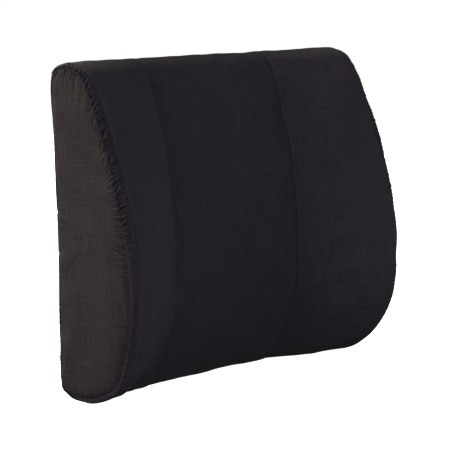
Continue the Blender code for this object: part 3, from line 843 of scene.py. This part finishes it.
def seam_wrinkles(across, rows, side):
    """The wrinkles low on a wing, weaker on the left."""
    reach = side * across - FRONT_SEAM_X
    total = np.zeros(np.broadcast(across, rows).shape)
    for place, height, tilt, length in SEAM_WRINKLES:
        line = rows - place - tilt * reach
        fade = np.clip(reach / (2 * MM), 0, 1) * np.exp(-np.clip(reach, 0, None) / length)
        ridge = bell(line, 0, WRINKLE_WIDTH) - 0.4 * bell(line, 0, WRINKLE_BED)
        total += height * ridge * fade * (reach > 0)
    return total if side > 0 else 0.45 * total


TOP_EDGE, TOP_TIGHT = (0.0, 0.06, 0.03), 0.6


def top_hold(rows):
    """How freely the cloth may swell: less over the top edge, where it is drawn tight."""
    return 1 - TOP_TIGHT * band(rows, *TOP_EDGE)


HEM_REACH = 5 * MM
PUCKER, PUCKER_REACH = 0.10 * MM, 3.5 * MM
SEAM_SINK, SINK_REACH = 0.25 * MM, 5 * MM


def hem_ripple(across, reach, height, pitch, seed):
    """Small ripples beside the seam at a panel's end."""
    return height * ripple(across, pitch, seed, 0.35) * np.exp(-np.abs(reach) / HEM_REACH)


def wrap_relief(across, rows):
    """The cloth's height over the smooth skin, on the top, the front and the bottom."""
    height = soft_field(across, rows, *WRAP_FIELD) * top_hold(rows)
    height += soft_field(across, rows, *WRAP_FINE_FIELD)
    for side, seed in ((-1, 21), (1, 31)):
        seam = np.clip(HALF_SPAN - side * across, 0, None)
        height += gathers(rows, seam, side, seed)
        height += seam_roll(across, rows, side)
        height += seam_wrinkles(across, rows, side)
        from_seam = np.abs(side * across - FRONT_SEAM_X)
        pucker = ripple(rows, 8 * MM, seed + 5, 0.4)
        height += PUCKER * pucker * np.exp(-from_seam / PUCKER_REACH)
        height -= SEAM_SINK * bell(from_seam, 0, SINK_REACH)
    for end, seed in ((0.0, 41), (WRAP_LENGTH, 42)):
        height += hem_ripple(across, rows - end, 0.28 * MM, 8.5 * MM, seed)
    return height


# How flat and how deep the strap presses the back, and how far beyond its edges
PRESS_FLAT, PRESS_DEPTH, PRESS_REACH = 0.8, 0.7 * MM, 5 * MM


def back_relief(across, heights):
    """The same on the flat back, which the board behind it holds nearly flat."""
    height = soft_field(across, heights, *BACK_FIELD)
    for side, seed in ((-1, 22), (1, 32)):
        seam = np.clip(HALF_SPAN - side * across, 0, None)
        places = WRAP_LENGTH + heights - BACK_CORNER
        height += 0.7 * gathers(places, seam, side, seed)
    for end, seed in ((BACK_CORNER, 43), (HEIGHT - BACK_CORNER, 44)):
        height += hem_ripple(across, heights - end, 0.22 * MM, 8 * MM, seed)
    pressed = band(heights, STRAP_LOW, STRAP_HIGH, PRESS_REACH)
    return height * (1 - PRESS_FLAT * pressed) - PRESS_DEPTH * pressed


# --- The cover ---

CELL = 2.4 * MM
# Rows on the wings: closest where the side seam is gathered most
WING_ROWS = ((0.25, 0.75 * MM), (0.325, 1.4 * MM), (0.385, 0.9 * MM), (WRAP_LENGTH, 1.7 * MM))
TAB_GAP = 0.1 * MM


def make_panel(node, cloth, make_section, relief, span, run, rounds, row_step=CELL, swell=None):
    """A panel over a span across and a run along. rounds are the seams' radii at its low and high
    ends, across and then along."""
    lips = [FLAT_EDGE if radius == FLAT_ROUND else 1 for radius in rounds[2:]]
    columns, column_lips = ladder(*span, CELL)
    rows, row_lips = ladder(*run, row_step, *lips)
    grid, normals = skin_with_normals(make_section, rows, columns)
    across, along = np.meshgrid(columns, rows)
    low, high = across - span[0] - SEAM_SPACE, span[1] - SEAM_SPACE - across
    begin, end = along - run[0] - SEAM_SPACE, run[1] - SEAM_SPACE - along
    drop = sum(map(seam_drop, (low, high, begin, end), rounds))
    height = relief(across, along) - (drop + column_lips[None, :] + row_lips[:, None])
    if swell is not None:
        height += read_wrap_swell(swell, rows, columns)
    outer = soften_corners(grid + normals * height[..., None])
    outer[..., 2] = np.maximum(outer[..., 2], 0)
    places = np.stack([across, along], axis=-1)
    cover_piece(closed_sheet(f"cover_{node}", outer, places, cloth), node)


def make_wrap_panels(cloth, swell):
    run, seam, side = (0.0, WRAP_LENGTH), SEAM_ROUND, SIDE_SEAM_ROUND
    for node, span, rounds, step in (
        ("front_center_panel", (-FRONT_SEAM_X, FRONT_SEAM_X), (seam, seam), CELL),
        ("left_wing_panel", (-HALF_SPAN, -FRONT_SEAM_X), (side, seam), WING_ROWS),
        ("right_wing_panel", (FRONT_SEAM_X, HALF_SPAN), (seam, side), WING_ROWS),
    ):
        rounds += (seam, seam)
        make_panel(node, cloth, wrap_section, wrap_relief, span, run, rounds, step, swell)


def across_at(x, height):
    """The cloth coordinate of a place x on the flat back at a height."""
    roll_x = HALF_WIDTH - back_roll(height) * math.sin(ROLL_END)
    return FRONT_SEAM_X + WING_SPAN * (x - FRONT_SEAM_X) / (roll_x - FRONT_SEAM_X)


def make_back_panels(cloth):
    """The two back panels, and the bits of cover that close the opening beyond the zip."""
    whole, top = (-HALF_SPAN, HALF_SPAN), HEIGHT - BACK_CORNER
    zip_end = across_at(ZIP_HALF_RUN, ZIP_Z)
    tab = (ZIP_LOW + TAB_GAP, ZIP_HIGH - TAB_GAP)
    flat, seam, side = FLAT_ROUND, SEAM_ROUND, SIDE_SEAM_ROUND
    for node, span, run, rounds in (
        ("back_lower_panel", whole, (BACK_CORNER, ZIP_LOW), (side, side, seam, flat)),
        ("back_upper_panel", whole, (ZIP_HIGH, top), (side, side, flat, seam)),
        ("zipper_left_end_tab", (-HALF_SPAN, -zip_end), tab, (side, flat, flat, flat)),
        ("zipper_right_end_tab", (zip_end, HALF_SPAN), tab, (flat, side, flat, flat)),
    ):
        make_panel(node, cloth, back_section, back_relief, span, run, rounds)


LOOP_ROWS, INNER_RINGS = 860, 34
# The side rises quickly by its crown beside the seam, more over its lower front than elsewhere,
# then bulges on to its middle
CROWN_REACH, FRONT_CROWN, BULGE = 7 * MM, 3.4 * MM, 2.6 * MM
FORWARD_FROM, FORWARD_SPAN, CROWN_BAND = 0.3, 0.04, (0.05, 0.13, 0.10)
# The relief comes on over this distance from the seam
RELIEF_FROM = 1.2 * MM


def make_side_panels(cloth, swells):
    """A crowned panel on each side, in rings from its seam in to its middle."""
    places = np.linspace(0, LOOP_LENGTH, LOOP_ROWS, endpoint=False)
    section = loop_section(places)
    rim = skin_column(section, HALF_SPAN)[:, 1:]
    outline = rim - section.normal * (-1, 1) * SIDE_RIM_INSET
    middle = middle_of(outline)
    travel = unit(np.roll(outline, -1, axis=0) - np.roll(outline, 1, axis=0))
    out = np.stack([travel[:, 1], -travel[:, 0]], axis=1)
    out *= np.sign(np.sum(out * (outline - middle), axis=1))[:, None]
    support = np.sum((outline - middle) * out, axis=1)
    near = np.concatenate([LIP_BACK, NEAR_SEAM])[:, None] / support
    inward = np.linspace(0, 1, INNER_RINGS)[1:-1, None]
    fraction = np.concatenate([near, near[-1] + (1 - near[-1]) * inward])
    lip_depth = np.zeros((len(fraction), 1))
    lip_depth[: len(LIP_DEPTH), 0] = LIP_DEPTH
    distance = fraction * support
    flat = outline[None] + (middle - outline)[None] * fraction[..., None]
    forward = np.clip((middle[0] - flat[..., 0]) / FORWARD_SPAN + FORWARD_FROM, 0, 1)
    fullness = SIDE_CROWN + FRONT_CROWN * forward**1.5 * band(flat[..., 1], *CROWN_BAND)
    crown = fullness * (1 - np.exp(-distance / CROWN_REACH)) + BULGE * (1 - (1 - fraction) ** 3)
    for side, name, swell in ((-1, "left", swells[0]), (1, "right", swells[1])):
        height = crown - seam_drop(distance, SIDE_SEAM_ROUND) - lip_depth
        relief = side_relief(places[None], distance, flat, side)
        height += relief * np.clip(distance / RELIEF_FROM, 0, 1)
        height += read_side_swell(swell, places, fraction)
        x = side * (HALF_WIDTH + height)
        outer = soften_corners(np.concatenate([x[..., None], flat], axis=-1))
        outer[..., 2] = np.maximum(outer[..., 2], 0)
        tip = (side * (HALF_WIDTH + height[-1].mean()), *middle)
        outer = np.vstack([outer.reshape(-1, 3), tip])
        cloth_places = (flat * (-side, 1)).reshape(-1, 2)
        cloth_places = np.vstack([cloth_places, cloth_places.mean(axis=0)])
        faces, inner = disc_faces(*distance.shape), outer - (side * CLOTH_THICK, 0, 0)
        shape = (outer, inner, faces, np.arange(LOOP_ROWS), cloth_places)
        node = f"{name}_side_panel"
        cover_piece(closed_cloth(f"cover_{node}", *shape, cloth, turn=-side), node)


# Tucks in the side panel beside its front seam: place, length, tilt and height
TUCKS = (
    (0.229, 12 * MM, 0.5, 1.6 * MM),
    (0.238, 17 * MM, 0.35, 2.8 * MM),
    (0.247, 9 * MM, 0.7, 2.2 * MM),
    (0.262, 12 * MM, 0.2, 2.2 * MM),
    (0.274, 8 * MM, 0.6, 2.4 * MM),
    (0.288, 16 * MM, 0.4, 3.0 * MM),
    (0.301, 10 * MM, 0.7, 2.3 * MM),
    (0.318, 13 * MM, 0.5, 2.0 * MM),
)
TUCK_WIDTH, TUCK_BED = 1.5 * MM, 5 * MM
# Pleats under the top seam and over the bottom seam: the seam's height, and their length, pitch
# and rise
PLEATS = ((HEIGHT, 20 * MM, 5.2 * MM, 4.2 * MM), (0.0, 13 * MM, 3.4 * MM, 1.7 * MM))
# How deep the side turns in beside its lower front and top seams, over what distance and where
TURN_IN, TURN_REACH = 4.2 * MM, 8 * MM
TURNED_FRONT, TURNED_TOP = (0.235, 0.42, 0.04), (0.008, 0.06, 0.012)


def side_relief(places, distance, flat, side):
    """Pleats, gathers and a few tucks in a side panel."""
    y, z = flat[..., 0], flat[..., 1]
    seed = 50 + side
    height = soft_field(y, z, *SIDE_FIELD, seed)
    turned = band(places, *TURNED_FRONT) + 0.7 * band(places, *TURNED_TOP)
    height -= TURN_IN * turned * np.exp(-((distance / TURN_REACH) ** 1.3))
    height += 0.5 * gathers(places, distance, side, seed + 1)
    for end, length, pitch, rise in PLEATS:
        fade = bell(np.abs(z - end), 0, length * (1 + 0.35 * ripple(y, 9 * MM, seed + 3)))
        line = y + 0.06 * z + 0.9 * MM * ripple(y, 17 * MM, seed + 2, 0.4)
        pleats = np.abs(np.sin(math.pi * line / pitch)) ** 0.75 - 0.66
        height += rise * pleats * (1 + 0.4 * ripple(y, 12 * MM, seed + 4)) * fade
    for place, length, tilt, rise in TUCKS:
        line = places - place + tilt * distance
        tuck = rise * (bell(line, 0, TUCK_WIDTH) - 0.5) * bell(line, 0, TUCK_BED)
        height += tuck * np.exp(-distance / (0.6 * length))
    return height


# --- Seam allowances, foam, stitches ---


def sweep(points, radius, reference, sides=6, closed=False):
    """Points and faces of a round tube along points; reference is never along the line."""
    if closed:
        travel = np.roll(points, -1, axis=0) - np.roll(points, 1, axis=0)
    else:
        travel = np.gradient(points, axis=0)
    first = unit(np.cross(travel, reference))
    second = unit(np.cross(travel, first))
    turn = np.arange(sides) * 2 * math.pi / sides
    ring = first[:, None] * np.cos(turn)[:, None] + second[:, None] * np.sin(turn)[:, None]
    index = np.arange(len(points) * sides).reshape(-1, sides)
    after = np.roll(index, -1, axis=1)
    quads = [index, np.roll(index, -1, axis=0), np.roll(after, -1, axis=0), after]
    quads = np.stack(quads, axis=-1)
    faces = [list(quad) for quad in (quads if closed else quads[:-1]).reshape(-1, 4)]
    if not closed:
        faces += [list(index[0]), list(index[-1][::-1])]
    return (points[:, None] + ring * radius).reshape(-1, 3), faces


def joined(parts):
    """Several (points, faces) as one."""
    points, faces, start = [], [], 0
    for part_points, part_faces in parts:
        points.append(part_points)
        faces += [[start + i for i in face] for face in part_faces]
        start += len(part_points)
    return np.concatenate(points), faces


ALLOWANCE_RADIUS, ALLOWANCE_DEPTH, ALLOWANCE_END = 1.3 * MM, 2.5 * MM, 6 * MM
LOOP_POINTS, WRAP_POINTS, BACK_POINTS = 260, 200, 120
# Beside the side seam, how much of that depth is across the cushion and how much inward
ALLOWANCE_ACROSS, ALLOWANCE_IN = 0.75, 0.66


def make_seam_allowances(cloth):
    """The overlocked edges inside the cover, as a soft cord under each seam."""
    parts = []
    section = loop_section(np.linspace(0, LOOP_LENGTH, LOOP_POINTS, endpoint=False))
    rows = np.linspace(2 * MM, WRAP_LENGTH - 2 * MM, WRAP_POINTS)
    for side in (-1, 1):
        column = skin_column(section, side * HALF_SPAN)
        across = np.full(len(column), -ALLOWANCE_ACROSS * side)
        inward = np.column_stack([across, ALLOWANCE_IN * section.normal * (1, -1)])
        line = column + inward * ALLOWANCE_DEPTH
        parts.append(sweep(line, ALLOWANCE_RADIUS, (1, 0, 0), closed=True))
        grid, normals = skin_with_normals(wrap_section, rows, np.array([side * FRONT_SEAM_X]))
        parts.append(sweep((grid - normals * ALLOWANCE_DEPTH)[:, 0], ALLOWANCE_RADIUS, (1, 0, 0)))
    inside = HALF_SPAN - ALLOWANCE_END
    columns = np.linspace(-inside, inside, BACK_POINTS)
    for height in (BACK_CORNER, HEIGHT - BACK_CORNER):
        grid, normals = skin_with_normals(back_section, np.array([height]), columns)
        parts.append(sweep((grid - normals * ALLOWANCE_DEPTH)[0], ALLOWANCE_RADIUS, (0, 0, 1)))
    points, faces = joined(parts)
    points = soften_corners(points)
    piece = mesh_object("cover_seam_allowances", points, faces, cloth, points[:, [0, 2]])
    belongs(piece, "cover_fabric")


FOAM_CELL = 3.2 * MM
# How deep the foam lies under the cover, and how much deeper beside the side seams
FOAM_INSET, FOAM_SEAM_INSET, FOAM_SEAM_REACH = 4.6 * MM, 2.6 * MM, 18 * MM
BOARD_ROOM = MM
CAP_RINGS = (0.85, 0.6, 0.3, 0.1)


def make_foam(finish):
    """The moulded core under the cover, with a recess for the board."""
    places = np.linspace(0, LOOP_LENGTH, round(LOOP_LENGTH / FOAM_CELL), endpoint=False)
    columns = np.linspace(-HALF_SPAN, HALF_SPAN, round(2 * HALF_SPAN / FOAM_CELL))
    grid = skin_grid(loop_section(places), columns)
    travel = np.roll(grid, -1, axis=0) - np.roll(grid, 1, axis=0)
    normals = unit(np.cross(travel, np.gradient(grid, axis=1)))
    x, z = np.abs(grid[..., 0]), grid[..., 2]
    low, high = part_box("stiffener_board")
    board = (places > WRAP_LENGTH)[:, None] & (x < high.x + BOARD_ROOM)
    board = board & (z > low.z - BOARD_ROOM) & (z < high.z + BOARD_ROOM)
    from_seam = HALF_SPAN - np.abs(columns)
    inset = FOAM_INSET + FOAM_SEAM_INSET * bell(from_seam, 0, FOAM_SEAM_REACH)
    depth = np.where(board, BACK_Y - low.y + BOARD_ROOM, inset)
    grid = grid - normals * depth[..., None]
    count = len(grid)
    index = np.arange(grid[..., 0].size).reshape(grid.shape[:2])
    faces = grid_quads(np.vstack([index, index[:1]])).tolist()
    points = [grid.reshape(-1, 3)]
    for column, turn in ((0, -1), (-1, 1)):
        rim, loop = grid[:, column], index[:, column]
        middle = middle_of(rim)
        for share in CAP_RINGS:
            new = sum(map(len, points)) + np.arange(count)
            points.append(middle + (rim - middle) * share)
            ring = np.stack([loop, new, np.roll(new, -1), np.roll(loop, -1)], axis=-1)
            faces += ring[:, ::turn].tolist()
            loop = new
        fan = np.stack([loop, 0 * loop + loop[-1] + 1, np.roll(loop, -1)], axis=-1)
        faces += fan[:, ::turn].tolist()
        points.append(middle[None])
    piece = mesh_object("foam_body", soften_corners(np.concatenate(points)), faces, finish)
    cover_piece(piece, "foam_core", "foam")


SEAM_STITCH_RADIUS, THREAD_RADIUS = 0.14 * MM, 0.21 * MM
STITCH_PITCH, STITCH_LENGTH = 3.2 * MM, 2.5 * MM
# Along a stitch: the share of its length, and how high it is there
STITCH_SHARES = np.array([0.0, 0.12, 0.5, 0.88, 1.0])
STITCH_RISES = np.array([-0.30, 0.0, 0.10, 0.0, -0.30]) * MM


def stitches(points, normals, radius=THREAD_RADIUS):
    """Raised stitches along a line of points on the cloth, with normals to say which way is up."""
    run = run_length(points)

    def read(values, at):
        return np.stack([np.interp(at, run, values[:, k]) for k in range(3)], axis=1)

    parts = []
    for start in np.arange(0.5 * MM, run[-1] - STITCH_LENGTH, STITCH_PITCH):
        at = start + STITCH_SHARES * STITCH_LENGTH
        line = read(points, at) + read(normals, at) * STITCH_RISES[:, None]
        across = np.cross(read(normals, at)[2], line[-1] - line[0])
        parts.append(sweep(line, radius, across, sides=5))
    return parts


def thread_piece(name, parts, finish):
    points, faces = joined(parts)
    belongs(mesh_object(name, points, faces, finish), "cover_fabric")


def back_line(across, heights):
    """Points and normals on the back panels' outer surface."""
    points, normals = [], []
    for a, z in zip(*np.broadcast_arrays(across, heights)):
        grid, normal = skin_with_normals(back_section, np.array([z]), np.array([a]))
        rise = back_relief(np.array([[a]]), np.array([[z]]))[0, 0]
        points.append(grid[0, 0] + normal[0, 0] * rise)
        normals.append(normal[0, 0])
    return np.array(points), np.array(normals)


FRONT_STITCH_OFF, FRONT_STITCH_SUNK = 1.1 * MM, 0.02 * MM
FRONT_STITCH_RUN = (20 * MM, WRAP_LENGTH - 60 * MM)
TOPSTITCH_OFF, TOPSTITCH_END = 2.2 * MM, 7 * MM


def make_front_stitches(finish, swell):
    """The needle's row of stitches just beside each front seam, sunk in the cloth."""
    parts = []
    rows = np.linspace(*FRONT_STITCH_RUN, LOOP_POINTS)
    for side in (-1, 1):
        place = np.array([side * (FRONT_SEAM_X + FRONT_STITCH_OFF)])
        grid, normals = skin_with_normals(wrap_section, rows, place)
        height = wrap_relief(place[None], rows[:, None]) + read_wrap_swell(swell, rows, place)
        points = (grid + normals * (height - FRONT_STITCH_SUNK)[..., None])[:, 0]
        parts += stitches(points, normals[:, 0], SEAM_STITCH_RADIUS)
    thread_piece("front_seam_stitches", parts, finish)


def make_zip_topstitch(finish):
    parts, inside = [], HALF_SPAN - TOPSTITCH_END
    for height in (ZIP_LOW - TOPSTITCH_OFF, ZIP_HIGH + TOPSTITCH_OFF):
        parts += stitches(*back_line(np.linspace(-inside, inside, BACK_POINTS), height))
    for side in (-1, 1):
        place = side * (across_at(ZIP_HALF_RUN, ZIP_Z) + TOPSTITCH_OFF)
        parts += stitches(*back_line(place, np.linspace(ZIP_LOW + MM, ZIP_HIGH - MM, 12)))
    thread_piece("zipper_topstitch", parts, finish)


# --- Zip ---

COIL_PITCH, FILAMENT, TURN_POINTS = 1.4 * MM, 0.26 * MM, 10
TAPE_THICK, TAPE_SINK, TAPE_RIB, TAPE_RIB_PITCH = 0.45 * MM, 0.15 * MM, 0.06 * MM, 2.4 * MM
TAPE_COLUMNS, TAPE_ROWS = 170, 12
# How far the tapes' edges stay from the zip's line, and how far the teeth reach over it
TAPE_MEETS, TEETH_CROSS = 0.32 * MM, 0.30 * MM
METAL_BEVEL = 0.15 * MM


def make_zip(tape_cloth, nylon, metal):
    for name, side in (("upper", 1), ("lower", -1)):
        make_tape(name, side, tape_cloth)
        make_coil(name, side, nylon)
    for node in ("zipper_top_stop", "zipper_bottom_stop", "zipper_slider", "zipper_pull_tab"):
        finish_node(node, metal, METAL_BEVEL)


def finish_node(node, material, bevel=0.0):
    """Give a CAD node that stays in view its material, and soften its edges."""
    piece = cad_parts[node]
    piece.data.materials.clear()
    piece.data.materials.append(material)
    if bevel:
        softened = piece.modifiers.new("soft_edges", "BEVEL")
        softened.width = bevel
        softened.segments = 2
        softened.limit_method = "ANGLE"


def make_tape(name, side, finish):
    low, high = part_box(f"zipper_{name}_tape")
    near, far = ZIP_Z + side * TAPE_MEETS, high.z if side > 0 else low.z
    rows = np.linspace(min(near, far), max(near, far), TAPE_ROWS)
    x, z = np.meshgrid(np.linspace(low.x, high.x, TAPE_COLUMNS), rows)
    wander = soft_field(x, z, *TAPE_FIELD)
    rib = TAPE_RIB * np.cos(2 * math.pi * z / TAPE_RIB_PITCH)
    grid = np.stack([x, high.y - TAPE_SINK + wander + rib, z], axis=-1)
    piece = closed_sheet(f"zip_{name}_tape", grid, grid[..., [0, 2]], finish, TAPE_THICK)
    belongs(piece, "zip_tape", f"zipper_{name}_tape")


def make_coil(name, side, finish):
    """One row of the zip's teeth: a nylon filament wound in a flattened helix, whose turns reach
    between those of the other row."""
    low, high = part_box(f"zipper_{name}_coil")
    near, far = ZIP_Z - side * TEETH_CROSS, high.z if side > 0 else low.z
    half_z, half_y = abs(far - near) / 2 - FILAMENT, (high.y - low.y) / 2 - FILAMENT
    turn = np.arange(0, (high.x - low.x - 2 * FILAMENT) / COIL_PITCH, 1 / TURN_POINTS)
    angle = 2 * math.pi * turn
    x = low.x + FILAMENT + turn * COIL_PITCH + (COIL_PITCH / 2 if side > 0 else 0)
    z = (near + far) / 2 + half_z * np.cos(angle)
    y = (high.y + low.y) / 2 + half_y * np.sin(angle)
    line = np.stack([x, y, z], axis=1)[x < high.x - FILAMENT]
    points, faces = sweep(line, FILAMENT, (1, 0, 0), sides=5)
    piece = mesh_object(f"zip_{name}_teeth", points, faces, finish)
    belongs(piece, "zip_nylon", f"zipper_{name}_coil")


# --- Strap ---

STRAP_RISE, STRAP_THICK, STRAP_EDGE = 0.9 * MM, 1.2 * MM, 0.5 * MM
RIB_PITCH, RIB_RISE = 2.5 * MM, 0.13 * MM
STRAP_COLUMNS, STRAP_ROWS = 74, 97
# Along the strap from its middle: how far it moves as one, and its sewn part's two ends
FREE_FROM, SEWN_FROM, SEWN_TO = 0.045, 0.152, 0.1665
# Where the strap starts to sink into the side seam, and where it lies unevenly on the back
STRAP_END, STRAP_LOOSE = 9 * MM, (0, 0.14, 0.02)
# The box of stitches: how far it is from the sewn part's near end and from the strap's edges, and
# how far it stands off the back
BOX_INSET, BOX_HEM, BOX_RISE, LINE_POINTS = 3 * MM, 3.5 * MM, STRAP_RISE + 0.68 * MM, 24


def make_strap(finish):
    """The strap in two halves, which meet in its middle and sink into the side seams at their ends.
    """
    half_height = (STRAP_HIGH - STRAP_LOW) / 2
    rows = STRAP_Z + half_height * np.sin(np.linspace(-1, 1, STRAP_ROWS) * math.pi / 2 * 0.98)
    reach = np.linspace(0, HALF_SPAN - STRAP_END, STRAP_COLUMNS)
    reach = np.concatenate([reach, HALF_SPAN - NEAR_SEAM[::-1]])
    for name, side in (("left", -1), ("right", 1)):
        columns = (side * reach)[::side]
        grid, normals = skin_with_normals(back_section, rows, columns)
        across, along = np.meshgrid(columns, rows)
        edge = 1 - np.abs(along - STRAP_Z) / half_height
        rib = RIB_RISE * np.abs(np.cos(math.pi * (along - STRAP_Z) / RIB_PITCH))
        rise = STRAP_RISE - RIB_RISE + rib - seam_drop(edge * half_height, STRAP_EDGE)
        seam = HALF_SPAN - np.abs(across)
        rise -= seam_drop(seam, SIDE_SEAM_ROUND) + STRAP_RISE * np.clip(1 - seam / STRAP_END, 0, 1)
        rise += soft_field(across, along, *STRAP_FIELD) * band(np.abs(across), *STRAP_LOOSE)
        outer = grid + normals * rise[..., None]
        places = np.stack([across, along], axis=-1)
        piece = closed_sheet(f"strap_{name}_half", outer, places, finish, STRAP_THICK)
        piece.data.set_sharp_from_angle(angle=math.radians(50))
        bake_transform(piece)
        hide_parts(f"strap_{name}_end", "strap_middle")


def make_strap_stitches(finish):
    """A box with a cross of stitches at each sewn end."""
    parts = []
    near, far = SEWN_FROM + BOX_INSET, SEWN_TO
    low, high = STRAP_LOW + BOX_HEM, STRAP_HIGH - BOX_HEM
    box = ((near, low), (far, low), (far, high), (near, high), (near, low), (far, high))
    share = np.linspace(0, 1, LINE_POINTS)
    for side in (-1, 1):
        for (x0, z0), (x1, z1) in (*zip(box, box[1:]), ((far, low), (near, high))):
            across = across_at(x0 + (x1 - x0) * share, STRAP_Z)
            points, normals = back_line(side * across, z0 + (z1 - z0) * share)
            parts += stitches(points + normals * BOX_RISE, normals)
    thread_piece("strap_box_stitches", parts, finish)


# --- Finish ---

# The side panels' cloth is the cover's cloth made browner and lighter: painted warm light, as falls
# on the sides from the lamps at the left
COVER_DARK, COVER_LIGHT = (0.0100, 0.0082, 0.0116), (0.0168, 0.0140, 0.0192)
SIDE_DARK_WARM_LIT, SIDE_LIGHT_WARM_LIT = (0.0125, 0.0095, 0.0098), (0.0243, 0.0186, 0.0190)


def main():
    make_camera()
    make_lights()
    make_sky()
    make_floor()
    cloth = make_cloth("cover_cloth", COVER_DARK, COVER_LIGHT, painted_seam_shade=0.7)
    # The side panels' cloth: the cover's cloth with painted warm light
    warm_lit_side_cloth = make_cloth("warm_lit_side_cloth", SIDE_DARK_WARM_LIT, SIDE_LIGHT_WARM_LIT, 3.2)
    thread = plain_material("sewing_thread")
    wrap_swell, *side_swells = settle_cover()
    make_wrap_panels(cloth, wrap_swell)
    make_back_panels(cloth)
    make_side_panels(warm_lit_side_cloth, side_swells)
    make_seam_allowances(cloth)
    make_foam(plain_material("foam_cells"))
    make_front_stitches(thread, wrap_swell)
    make_zip_topstitch(thread)
    zip_materials = (plain_material("zip_nylon_thread"), plain_material("lacquered_zinc"))
    make_zip(make_tape_material(), *zip_materials)
    make_strap(make_elastic_material())
    make_strap_stitches(thread)
    finish_node("stiffener_board", plain_material("hardboard_fibre"))


main()
